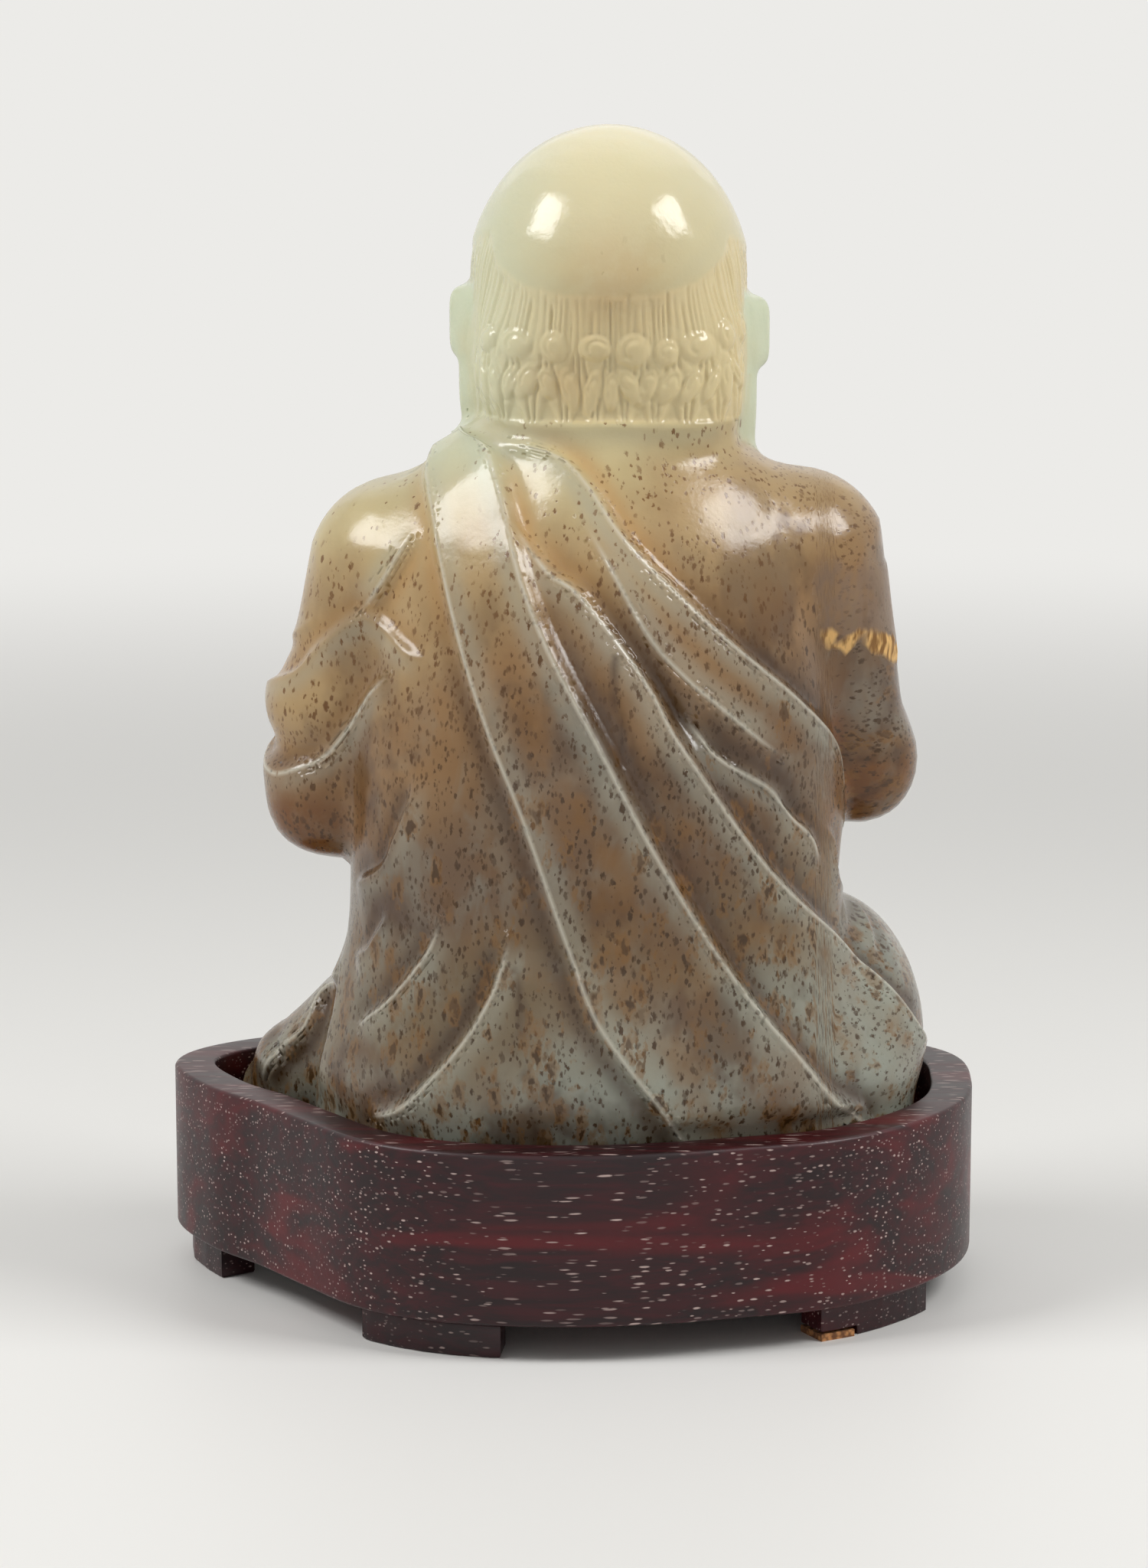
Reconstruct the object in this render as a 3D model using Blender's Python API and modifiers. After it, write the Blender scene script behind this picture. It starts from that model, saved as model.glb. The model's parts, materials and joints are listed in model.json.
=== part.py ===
"""Jade figure of a seated monk, shown from behind, in its fitted hardwood stand.

The figure is one carved solid. Its form is a union of rounded masses that flow into each
other, and the robe's folds, the hair and the face are cut into that form. It stands in a
socket in the stand's block. The block has four glued feet, and one foot has a cork shim.
The figure faces -Y, and the origin is on the ground under the middle of the stand.
"""

import math
from collections import namedtuple

import bmesh
import bpy
import numpy as np
from mathutils import Matrix, Vector

MM = 0.001

# Stand
FOOT_HEIGHT = 4.4 * MM
BLOCK_HEIGHT = 22.6 * MM
SOCKET_DEPTH = 9.3 * MM
RIM_WIDTH = 5.5 * MM
BLOCK_EDGE_ROUND = 0.6 * MM
FOOT_INSET = 1.8 * MM
FOOT_WIDTH = 5.0 * MM
FOOT_LENGTH = 20.0 * MM
FOOT_EDGE_ROUND = 0.4 * MM
SHIM_THICKNESS = 0.9 * MM
SHIM_LENGTH = 5.0 * MM

# Fits: a glue line or seat between two pieces, and the play round the figure in its socket
SEAT_GAP = 0.3 * MM
SOCKET_CLEARANCE = 0.5 * MM

# Fineness of the figure's surface
FIGURE_VOXEL = 1.1 * MM
FIGURE_TRIANGLES = 8600


def mm(*lengths):
    """Millimetres as an array of metres."""
    return np.array(lengths, float) * MM


# Socket's wall seen from above, as a closed smooth curve through these places
SOCKET_OUTLINE = mm(
    (48.5, -15.5), (44.0, -4.0), (37.0, 4.5), (30.5, 13.5), (23.0, 23.0), (13.5, 28.0),
    (1.5, 29.5), (-9.5, 28.5), (-21.0, 25.5), (-31.5, 22.0), (-40.5, 14.5), (-46.5, 5.0),
    (-48.5, -6.0), (-47.5, -17.5), (-38.5, -24.0), (-16.0, -29.0), (8.0, -29.5),
    (30.0, -26.5), (41.5, -23.5),
)
OUTLINE_STEPS = 3

# Bearing of each foot's middle, in degrees from +X
FOOT_BEARINGS = {
    "foot_back_left": 57.0,
    "foot_back_right": 151.0,
    "foot_front_right": 209.0,
    "foot_front_left": -14.0,
}
SHIMMED_FOOT = "foot_back_right"

# Heights that follow from the stand
BLOCK_BOTTOM = FOOT_HEIGHT + SEAT_GAP
RIM_TOP = FOOT_HEIGHT + BLOCK_HEIGHT
SEAT_HEIGHT = RIM_TOP - SOCKET_DEPTH + SEAT_GAP
RIM_ABOVE_SEAT = RIM_TOP - SEAT_HEIGHT

# Figure, measured from the middle of its seat: joints of the body and radii round them
HEAD = mm(-4.9, -3.0, 116.0)
SKULL = mm(17.9, 19.5, 19.4)
EAR_TOP = mm(2.7, 5.2, 4.8)
EAR_LOBE = mm(2.6, 5.0, 10.0)
EAR_TURN = 48.0
NECK_BASE = mm(-4.5, 1.0, 90.0)
NECK_RADIUS = 12.5 * MM
SHOULDERS = mm(-4.0, 2.0, 81.0)
SHOULDER_SPREAD = mm(30.0, 16.5, 13.4)
TRAPEZIUS_RISE = 6.0 * MM
CHEST = mm(-3.0, 4.0, 62.0)
CHEST_SPREAD = mm(30.5, 22.0, 32.0)
WAIST = mm(-3.0, 3.5, 32.0)
WAIST_SPREAD = mm(32.0, 25.5, 38.0)
HIPS = mm(-6.0, 2.0, 6.0)
HIP_SPREAD = mm(40.0, 29.0, 28.0)
SLEEVED_SHOULDER = mm(21.9, 0.0, 78.2)
SLEEVED_ELBOW = mm(29.2, -3.0, 49.4)
SLEEVE_RADIUS = 12.3 * MM
BARE_SHOULDER = mm(-29.0, 0.0, 79.3)
BARE_ELBOW = mm(-37.0, -4.0, 53.0)
BARE_ARM_RADIUS = 12.4 * MM
HANDS = mm(-3.0, -22.0, 45.0)
FINGER_RADIUS = 1.9 * MM
RIGHT_KNEE = mm(-33.0, -6.0, 14.5)
RIGHT_KNEE_SPREAD = mm(14.3, 20.0, 20.0)
LEFT_THIGH = mm(15.0, -8.0, 21.5)
LEFT_KNEE = mm(36.0, -14.0, 7.5)
SHIN_RADIUS = 9.0 * MM

# How steeply the figure may swell above the rim, and how softly it bends into the socket
SWELL_OVER_RIM = 0.5
SEAT_BLEND = 4.5 * MM

# A ball is an ellipsoid, squarer with a higher power. A limb is a cone with round ends.
# Both flow into the masses before them over the length of their blend.
Ball = namedtuple("Ball", "centre radii blend turn power", defaults=(0.0, 0.0, 2.0))
Limb = namedtuple("Limb", "start end start_radius end_radius blend")


def in_head(side, forward, up):
    """A place in the head, in skull radii from its middle."""
    return HEAD + SKULL * np.array([side, -forward, up])


def torso_masses():
    return [
        Ball(HIPS, HIP_SPREAD),
        Ball(WAIST, WAIST_SPREAD, 12 * MM),
        Ball(CHEST, CHEST_SPREAD, 12 * MM),
        Ball(SHOULDERS, SHOULDER_SPREAD, 8 * MM),
        Ball(SHOULDERS + (0, 0, TRAPEZIUS_RISE), SHOULDER_SPREAD * (0.8, 0.82, 0.78), 5 * MM),
    ]


def sleeved_arm_masses():
    """The left arm, in its wide sleeve: two full rolls of cloth above the wrist."""
    roll = SLEEVED_SHOULDER * 0.38 + SLEEVED_ELBOW * 0.62
    wrist = HANDS + mm(8, 1, 0)
    return [
        Limb(SLEEVED_SHOULDER, roll, SLEEVE_RADIUS, SLEEVE_RADIUS * 0.92, 3 * MM),
        Ball(roll + mm(3.2, -0.2, -0.2), SLEEVE_RADIUS * np.array([0.83, 0.9, 0.69]), 2 * MM),
        Ball(SLEEVED_ELBOW, SLEEVE_RADIUS * np.array([0.88, 0.9, 0.75]), 2 * MM, 0, 2.6),
        Limb(SLEEVED_ELBOW - mm(0, 2, 0), wrist, SLEEVE_RADIUS * 0.74, SLEEVE_RADIUS * 0.55, 3 * MM),
    ]


def bare_arm_masses():
    """The right arm, bare from the shoulder to the hand."""
    wrist = HANDS + mm(-9, 1, 1)
    elbow_radius = BARE_ARM_RADIUS * 0.63
    return [
        Limb(BARE_SHOULDER, BARE_ELBOW + mm(0, 1, 0), BARE_ARM_RADIUS, elbow_radius, 2.5 * MM),
        Ball(BARE_ELBOW, elbow_radius * np.array([0.98, 1.08, 1.0]), 2.5 * MM, 0, 2.5),
        Limb(BARE_ELBOW, wrist, elbow_radius * 0.96, elbow_radius * 0.7, 3 * MM),
    ]


def hand_masses():
    """The right hand's back, fingers and thumb, laid over the left sleeve's cuff."""
    palm = HANDS + mm(-3, -3, 0)
    masses = [Ball(palm, mm(6.5, 3.2, 5.4), 2 * MM)]
    for finger in range(4):
        root = palm + mm(3.5, -1.2, 3.8 - 2.6 * finger)
        tip = root + mm(9.5 - abs(finger - 1.5), 1.2, -1.5)
        masses.append(Limb(root, tip, FINGER_RADIUS, FINGER_RADIUS * 0.8, 0.6 * MM))
    thumb = palm + mm(-1, -1, 5)
    masses.append(Limb(thumb, thumb + mm(6.5, -0.5, 2), FINGER_RADIUS * 1.1, FINGER_RADIUS * 0.9, MM))
    return masses


def leg_masses():
    """Crossed legs under the robe, with the right knee high and the left one low."""
    right_foot = LEFT_KNEE * (0.1, 1.35, 0.67)
    left_foot = RIGHT_KNEE * (0.12, 3.2, 0.5)
    return [
        Ball(RIGHT_KNEE, RIGHT_KNEE_SPREAD, 2.5 * MM),
        Limb(LEFT_THIGH, LEFT_KNEE, SHIN_RADIUS * 1.45, SHIN_RADIUS * 0.85, 3.5 * MM),
        Ball(LEFT_KNEE + mm(5.5, -4.5, -3.5), SHIN_RADIUS * np.array([0.5, 0.7, 0.6]), 1.5 * MM),
        Limb(RIGHT_KNEE + mm(3, -8, -6), right_foot, SHIN_RADIUS, SHIN_RADIUS * 0.9, 5 * MM),
        Limb(LEFT_KNEE + mm(-6, 0, 0), left_foot, SHIN_RADIUS * 0.9, SHIN_RADIUS * 0.9, 5 * MM),
    ]


# Ears: places of the broad top and of the long lobe in skull radii, and the turn outward
Ear = namedtuple("Ear", "top_side top_up lobe_side lobe_up turn")
EARS = (
    Ear(0.873, -0.30, 0.83, -0.70, -EAR_TURN),
    Ear(-0.884, -0.37, -0.817, -0.74, EAR_TURN),
)


def head_masses():
    masses = [
        Limb(NECK_BASE, in_head(0, -0.05, -0.43), NECK_RADIUS, NECK_RADIUS * 0.96, 5 * MM),
        Ball(in_head(0, 0.15, -0.54), SKULL * (0.82, 0.82, 0.64), 4 * MM),
        Ball(in_head(0, -0.33, -0.66), SKULL * (0.95, 0.54, 0.68), 3 * MM, 0, 2.8),
        Ball(HEAD, SKULL, 4 * MM),
    ]
    for ear in EARS:
        masses.append(Ball(in_head(ear.lobe_side, 0.0, ear.lobe_up), EAR_LOBE, 3 * MM, ear.turn, 3.2))
        masses.append(Ball(in_head(ear.top_side, 0.06, ear.top_up), EAR_TOP, 1.5 * MM, ear.turn, 5.0))
    return masses + face_masses()


def face_masses():
    """Nose, brows, eyes, cheeks, lips and chin."""
    masses = [
        Limb(in_head(0, 0.95, 0.14), in_head(0, 1.09, -0.3), 1.6 * MM, 2.2 * MM, 2 * MM),
        Ball(in_head(0, 0.8, -0.86), mm(5.5, 4.5, 4.5), 4 * MM),
        Ball(in_head(0, 0.85, -0.6), mm(6.5, 3.6, 4.0), 3 * MM),
        Limb(in_head(-0.2, 1.0, -0.54), in_head(0.2, 1.0, -0.54), 1.1 * MM, 1.1 * MM, 0.5 * MM),
        Limb(in_head(-0.14, 1.0, -0.67), in_head(0.14, 1.0, -0.67), 1.3 * MM, 1.3 * MM, 0.5 * MM),
    ]
    for side in (-1, 1):
        arch = in_head(side * 0.38, 0.9, 0.25)
        masses += [
            Limb(in_head(side * 0.12, 0.97, 0.17), arch, 1.2 * MM, 1.3 * MM, 2 * MM),
            Limb(arch, in_head(side * 0.68, 0.7, 0.14), 1.3 * MM, 0.9 * MM, 2 * MM),
            Ball(in_head(side * 0.36, 0.87, -0.02), mm(4.2, 3.0, 2.7), 0.8 * MM),
            Ball(in_head(side * 0.13, 1.0, -0.35), mm(1.6, 1.9, 1.5), 0.8 * MM),
            Ball(in_head(side * 0.45, 0.7, -0.32), mm(5.0, 4.5, 5.0), 4 * MM),
        ]
    return masses


MASSES = torso_masses() + sleeved_arm_masses() + bare_arm_masses()
MASSES += hand_masses() + leg_masses() + head_masses()


def rotation(turn):
    """Turn in degrees about +Z as a 3 x 3 matrix."""
    return np.array(Matrix.Rotation(math.radians(turn), 3, "Z"))


def ball_distance(points, ball):
    """Distance to an ellipsoid or superellipsoid, exact to first order near its surface."""
    scaled = np.abs((points - ball.centre) @ rotation(ball.turn)) / ball.radii
    size = np.maximum((scaled**ball.power).sum(1), 1e-12) ** (1 / ball.power)
    slope = np.linalg.norm(scaled ** (ball.power - 1) / ball.radii, axis=1) * size ** (1 - ball.power)
    return (size - 1) / np.maximum(slope, 1e-6)


def limb_distance(points, limb):
    """Distance to the hull of two spheres, read along the cone's own slant."""
    axis = limb.end - limb.start
    length = np.linalg.norm(axis)
    lean = (limb.start_radius - limb.end_radius) / length
    offset = points - limb.start
    along = offset @ axis / length
    across = np.sqrt(np.maximum((offset**2).sum(1) - along**2, 0))
    along = np.clip((along + across * lean / math.sqrt(1 - lean**2)) / length, 0, 1)
    nearest = limb.start + along[:, None] * axis
    radius = limb.start_radius + along * (limb.end_radius - limb.start_radius)
    return np.linalg.norm(points - nearest, axis=1) - radius


def joined(first, second, blend):
    """Union of two distances whose crease is filled over the blend's length."""
    if blend == 0:
        return np.minimum(first, second)
    overlap = np.maximum(blend - np.abs(first - second), 0) / blend
    return np.minimum(first, second) - overlap**2 * blend / 4


def reach_of(mass):
    """Centre and radius of the sphere within which a mass shapes the surface."""
    margin = mass.blend + 6 * MM
    if isinstance(mass, Ball):
        return mass.centre, mass.radii.max() * 2 ** (0.5 - 1 / mass.power) + margin
    middle = (mass.start + mass.end) / 2
    half = np.linalg.norm(mass.end - mass.start) / 2
    return middle, half + max(mass.start_radius, mass.end_radius) + margin


def form(points):
    """Signed distance to the smooth form under the carving, below zero inside."""
    distance = np.full(len(points), 1.0)
    for mass in MASSES:
        middle, reach = reach_of(mass)
        near = ((points - middle) ** 2).sum(1) < reach**2
        measure = ball_distance if isinstance(mass, Ball) else limb_distance
        distance[near] = joined(distance[near], measure(points[near], mass), mass.blend)
    low = points[:, 2] < RIM_ABOVE_SEAT + 12 * MM
    wall = outline_distance(points[low, :2], SEAT_WALL)
    wall -= SWELL_OVER_RIM * np.maximum(points[low, 2] - RIM_ABOVE_SEAT, 0)
    distance[low] = -joined(-distance[low], -wall, SEAT_BLEND)
    return distance


def slope(points):
    """Gradient of the form at points."""
    step = 0.05 * MM
    here = form(points)
    rise = [form(points + step * axis) - here for axis in np.eye(3)]
    return here, np.stack(rise, axis=1) / step


def settled(points, rounds=4):
    """Points moved straight onto the form's surface."""
    for _ in range(rounds):
        here, gradient = slope(points)
        stretch = np.maximum((gradient**2).sum(1), 0.2)
        move = np.clip(here / stretch, -2 * MM, 2 * MM)
        points = points - move[:, None] * gradient
    return points


def normals_at(points):
    """The form's outward normals."""
    gradient = slope(points)[1]
    return gradient / np.linalg.norm(gradient, axis=1)[:, None]


def smooth_path(points, steps, closed=False):
    """Catmull-Rom curve through points, with a number of steps between each two."""
    points = np.asarray(points, float)
    if closed:
        ring = np.concatenate([points[-1:], points, points[:2]])
    else:
        ring = np.concatenate([2 * points[:1] - points[1:2], points, 2 * points[-1:] - points[-2:-1]])
    a, b, c, d = (ring[i : len(ring) - 3 + i, None] for i in range(4))
    t = np.linspace(0, 1, steps, endpoint=False)[None, :, None]
    curve = 2 * b + (c - a) * t + (2 * a - 5 * b + 4 * c - d) * t**2 + (3 * b - a - 3 * c + d) * t**3
    curve = curve.reshape(-1, points.shape[1]) / 2
    return curve if closed else np.concatenate([curve, points[-1:]])


def beside(points, path):
    """Nearest place on a path for each point: its segment, share of it and offset from it."""
    start, run = path[:-1], np.diff(path, axis=0)
    share = ((points[:, None] - start) * run).sum(-1) / (run**2).sum(-1)
    share = np.clip(share, 0, 1)
    gap = points[:, None] - start - share[..., None] * run
    segment = (gap**2).sum(-1).argmin(1)
    row = np.arange(len(points))
    return segment, share[row, segment], gap[row, segment]


def offset_outline(outline, distance):
    """A closed outline, listed anticlockwise, moved out by a distance."""
    run = np.roll(outline, -1, axis=0) - np.roll(outline, 1, axis=0)
    run /= np.linalg.norm(run, axis=1)[:, None]
    return outline + distance * np.stack([run[:, 1], -run[:, 0]], axis=1)


def outline_distance(points, outline):
    """Signed distance in the plane to a closed outline listed anticlockwise."""
    closed = np.concatenate([outline, outline[:1]])
    segment, _, gap = beside(points, closed)
    run = np.diff(closed, axis=0)[segment]
    outside = run[:, 1] * gap[:, 0] - run[:, 0] * gap[:, 1] > 0
    return np.where(outside, 1, -1) * np.linalg.norm(gap, axis=1)


def centred_walls():
    """The socket's and the block's walls, moved together until the block's box is centred."""
    socket = smooth_path(SOCKET_OUTLINE, OUTLINE_STEPS, closed=True)
    block = offset_outline(socket, RIM_WIDTH)
    middle = (block.min(0) + block.max(0)) / 2
    return socket - middle, block - middle


SOCKET_WALL, BLOCK_WALL = centred_walls()
SEAT_WALL = offset_outline(SOCKET_WALL, -SOCKET_CLEARANCE)


# Carving. A fold is a crest with one steep side, which falls past the surface into a dip,
# and one gentle side. Its path is given in millimetres from the seat's middle: two numbers
# are a place on the back as seen from behind, and three are a place close to the surface.
Fold = namedtuple("Fold", "path height steep gentle dip dip_width side fade")


def fold(path, height, steep, gentle, dip=0.0, dip_width=1.0, side=1, fade=5.0):
    """A fold in millimetres. Its steep side is to the right of its path, or left for side -1."""
    return Fold(path, height * MM, steep * MM, gentle * MM, dip * MM, dip_width * MM, side, fade * MM)


def robe_folds_on_back():
    """Pleats that fan out from the left shoulder to the right hip."""
    edge = [
        (10, -6, 93), (7, 2, 98), (0.5, 93), (-6.5, 84), (-14, 76.5), (-21.5, 69.5), (-29, 62.5),
        (-33.5, 56), (-33, 0, 50), (-30, -10, 46),
    ]
    roll = [(-1.5, 86.5), (-9, 73.5), (-14, 67.5), (-18.5, 63.5), (-23, 59.5), (-27, 56.5)]
    roll_groove = [(-1.5, 78.5), (-6, 73), (-10, 68), (-14, 62.5), (-19, 58), (-23.5, 53.5), (-31.5, 47)]
    inner = [(-14, 63.5), (-16, 60.5), (-19, 57), (-25.5, 52.5), (-28, 48.5), (-30, 46), (-32, 41.5)]
    upper = [
        (8, 87), (3, 80.5), (-0.5, 78), (-6, 71.5), (-10, 65.5), (-14, 58), (-24.5, 42.5),
        (-36, 28.5), (-45, 18), (-48, -4, 13),
    ]
    middle = [
        (13, 1, 98), (12, 97), (9, 90.5), (4, 74), (-3.5, 59), (-11.5, 43.5), (-22, 26.5),
        (-32, 14), (-37, 9.5), (-40, 5),
    ]
    outer = [
        (17.5, 0, 96), (17.5, 91.5), (16.5, 85), (13, 70), (9.5, 59.5), (5.5, 49.5), (0, 33.5),
        (-3.5, 24.5), (-10, 15.5), (-14, 9.5), (-17, 4),
    ]
    return [
        fold(edge, 1.2, 1.1, 5, dip=0.5, dip_width=3, side=-1),
        fold(roll, 0.9, 3.2, 3.2, fade=8),
        fold(roll_groove, -1.2, 1.5, 1.5, fade=8),
        fold(inner, 0.8, 1.0, 3, dip=0.5, dip_width=2.4, side=-1),
        fold(upper, 1.3, 1.2, 7, dip=0.9, dip_width=3.5, side=-1, fade=9),
        fold(middle, 1.5, 1.4, 8, dip=1.2, dip_width=5, side=-1),
        fold(outer, 0.8, 1.0, 5, dip=0.4, dip_width=3, side=1),
    ]


def swags_on_back():
    """Cloth that hangs in curves from the sleeve to the left hip."""
    first = [(19.5, 55), (20, 51), (22, 46), (24, 41.5), (28, 38)]
    second = [(22.5, 36.5), (24.5, 33), (26, 30.5), (28, 29)]
    third = [(16.5, 37), (17, 34), (18.5, 31), (23, 25), (28, 20)]
    fourth = [(7.5, 35), (9.5, 28), (13.5, 21), (18.5, 15), (21.5, 12), (26, 9.5)]
    side_hem = [(-32, 47), (-33.5, 44), (-34.5, 38.5), (-37.5, 33.5), (-39.5, 27)]
    leg_ridge = [(30, 26), (32.5, 21), (35, 15.5), (38.5, 12), (42, 7)]
    robe_edge = [(30.1, 28.5), (29.9, 25.6), (31.3, 18.1), (32.4, 13.5), (32.6, 9.2)]
    return [
        fold(first, 0.7, 0.9, 4, dip=0.5, dip_width=3, side=1),
        fold(second, 0.6, 0.9, 3, dip=0.4, dip_width=2.5, side=1, fade=3),
        fold(third, 0.8, 0.9, 4, dip=0.7, dip_width=3, side=1),
        fold(fourth, 1.0, 1.0, 4, dip=1.0, dip_width=3, side=1),
        fold(side_hem, 0.5, 0.8, 2.5, dip=0.4, dip_width=2, side=-1),
        fold(leg_ridge, 1.3, 1.8, 4, dip=0.8, dip_width=3, side=-1, fade=4),
        fold(robe_edge, 0.6, 1.1, 2.5, dip=0.7, dip_width=2, side=1, fade=4),
    ]


def sleeve_folds():
    """Two rolls round the left sleeve, and the tuck that leaves the upper one."""
    tuck = [(19.1, 85.5), (21.5, 81.5), (24.5, 77), (27.3, 73.8)]
    upper = [
        (17.7, 67.9), (21.1, 69.9), (25.6, 73.2), (28.2, 72.4), (33, 67.9), (36, 64.8), (39.2, 63.2),
        (38.5, -8, 62),
    ]
    lower = [
        (22.9, 66.7), (26, 62.2), (29.3, 57.8), (33, 53.9), (37.2, 52.2), (39, 52.3), (40.3, -3, 53.8),
        (39, -8, 57),
    ]
    crease = [(37.6, 68.3), (34, 71.6), (33.6, 73.2)]
    front = [(36, -12, 60), (28, -17, 52), (16, -22, 47)]
    return [
        fold(tuck, 0.8, 1.2, 3, dip=0.8, dip_width=2.5, side=-1),
        fold(upper, 0.7, 1.2, 3, dip=0.7, dip_width=2.5, side=1),
        fold(lower, 0.8, 1.5, 3.5, dip=0.7, dip_width=2.5, side=1),
        fold(crease, 0.35, 0.8, 1.2, fade=2),
        fold(front, 0.8, 0.9, 3, dip=0.4, dip_width=2, side=1),
    ]


def robe_folds_in_front():
    """The robe's edge across the chest, pleats beside it, and swags between the knees."""
    folds = []
    edge = [(10, -6, 93), (9, -12, 88), (2, -18, 74), (-9, -19, 60), (-20, -16, 52), (-30, -10, 46)]
    folds.append(fold(edge, 1.2, 0.8, 5, dip=0.4, dip_width=3, side=1))
    for shift in (6, 12):
        pleat = [(x + shift, y, z - 0.3 * shift) for x, y, z in edge[1:5]]
        folds.append(fold(pleat, 0.8, 0.9, 4, dip=0.4, dip_width=2.5, side=1))
    for drop, spread in ((0, 22), (6, 26), (12, 30)):
        swag = [(-spread, -22, 27 - drop), (-spread / 2, -25, 19 - drop), (0, -27, 16 - drop)]
        swag += [(x + 2 * spread * t, y, z) for t, (x, y, z) in zip((0.5, 1), swag[1::-1])]
        folds.append(fold(swag, 0.9, 1.0, 3.5, dip=0.5, dip_width=3, side=1))
    return folds


def hairline():
    """The edge of the short hair round the back of the head, standing proud of the scalp."""
    path = [
        in_head(1.0, 0.2, 0.2), in_head(0.9, -0.5, 0.35), in_head(0.78, -0.6, 0.12),
        in_head(0.6, -0.8, -0.03), in_head(0.3, -0.92, -0.09), in_head(-0.35, -0.92, -0.09),
        in_head(-0.6, -0.8, 0.03), in_head(-0.78, -0.6, 0.18), in_head(-0.9, -0.5, 0.3),
        in_head(-1.0, 0.2, 0.15),
    ]
    return fold([tuple(place / MM) for place in path], 0.25, 0.9, 4, side=1, fade=4)


def hair_end():
    """The lower edge of the hair, across the nape from ear to ear."""
    path = [in_head(side, -0.7, -0.92) / MM for side in (0.9, 0.6, 0.3, 0, -0.3, -0.6, -0.9)]
    return fold([tuple(place) for place in path], 0.5, 0.7, 4, side=-1, fade=3)


# How far behind the seat's middle a place on the back starts its way to the form, in mm
CLEAR_OF_BACK = 45.0


def placed(path):
    """A carving path's places, moved onto the form."""
    places = np.array([(p[0], CLEAR_OF_BACK, p[1]) if len(p) == 2 else p for p in path]) * MM
    seen = np.array([len(p) == 2 for p in path])
    for _ in range(30):
        places[seen, 1] -= np.clip(form(places[seen]), 0, 2 * MM)
    return settled(places)


def faded(share):
    """Smooth rise from 0 to 1."""
    share = np.clip(share, 0, 1)
    return share * share * (3 - 2 * share)


# How many of its widths a fold reaches from its crest
FOLD_REACH = 2.4


def fold_relief(points, normals, crease):
    """Height that one fold adds to the form at points, along their normals."""
    path = settled(smooth_path(placed(crease.path), 5), 2)
    facing = normals_at(path)
    height = np.zeros(len(points))
    reach = FOLD_REACH * max(crease.gentle, crease.dip_width, crease.steep)
    near = np.all((points > path.min(0) - reach) & (points < path.max(0) + reach), axis=1)
    near = np.flatnonzero(near)
    segment, share, gap = beside(points[near], path)
    run = np.diff(path, axis=0)
    across = np.cross(run[segment], facing[segment])
    away = np.linalg.norm(gap, axis=1)
    steep_side = (across * gap).sum(1) * crease.side > 0
    fall = (crease.height + crease.dip) * np.exp(-((away / crease.steep) ** 2))
    fall -= crease.dip * np.exp(-((away / crease.dip_width) ** 2))
    gentle = crease.height * np.exp(-((away / crease.gentle) ** 1.5))
    lengths = np.linalg.norm(run, axis=1)
    travelled = (np.cumsum(lengths) - lengths)[segment] + share * lengths[segment]
    ends = faded(np.minimum(travelled, lengths.sum() - travelled) / crease.fade)
    same_side = faded(((facing[segment] * normals[near]).sum(1) - 0.1) / 0.4)
    height[near] = np.where(steep_side, fall, gentle) * ends * same_side
    return height


# Curls of the short hair: rows of small beads round the nape
CURL_RADIUS = 1.7 * MM
CURL_PITCH = 4.0 * MM
CURL_HEIGHT = 1.0 * MM
CURL_ROWS = (-0.44, -0.69)


def curl_places():
    """Middles of the curls, evenly along two arcs from ear to ear."""
    places = []
    for up in CURL_ROWS:
        turns = np.radians(np.arange(-68, 69, 4.0))
        arc = np.stack([0.9 * np.sin(turns), 0.9 * np.cos(turns), np.full(len(turns), up)], axis=1)
        arc[:, 2] += 0.14 * (1 - np.cos(turns))
        path = settled(HEAD + SKULL * arc)
        travelled = np.concatenate([[0], np.cumsum(np.linalg.norm(np.diff(path, axis=0), axis=1))])
        count = int(travelled[-1] / CURL_PITCH)
        stops = np.linspace(0, travelled[-1], count + 1)
        places.append(np.stack([np.interp(stops, travelled, path[:, i]) for i in range(3)], axis=1))
    return np.concatenate(places)


def carving(points, normals):
    """Height of all the carving at points of the form, along their normals."""
    folds = robe_folds_on_back() + swags_on_back() + sleeve_folds() + robe_folds_in_front()
    folds += [hairline(), hair_end()]
    height = sum(fold_relief(points, normals, crease) for crease in folds)
    for place in curl_places():
        away = np.linalg.norm(points - place, axis=1)
        height += CURL_HEIGHT * np.exp(-((away / (0.8 * CURL_RADIUS)) ** 4))
    return height


# Building
def new_object(name, mesh, collection):
    result = bpy.data.objects.new(name, mesh)
    collection.objects.link(result)
    return result


def baked_mesh(source):
    """The object's mesh as its modifiers leave it. The object itself is removed."""
    bpy.context.view_layer.update()
    evaluated = source.evaluated_get(bpy.context.evaluated_depsgraph_get())
    mesh = bpy.data.meshes.new_from_object(evaluated)
    bpy.data.objects.remove(source)
    return mesh


def material(name, colour, roughness, metallic=0.0):
    result = bpy.data.materials.new(name)
    result.use_nodes = True
    shader = result.node_tree.nodes["Principled BSDF"]
    shader.inputs["Base Color"].default_value = (*colour, 1.0)
    shader.inputs["Roughness"].default_value = roughness
    shader.inputs["Metallic"].default_value = metallic
    return result


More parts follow.
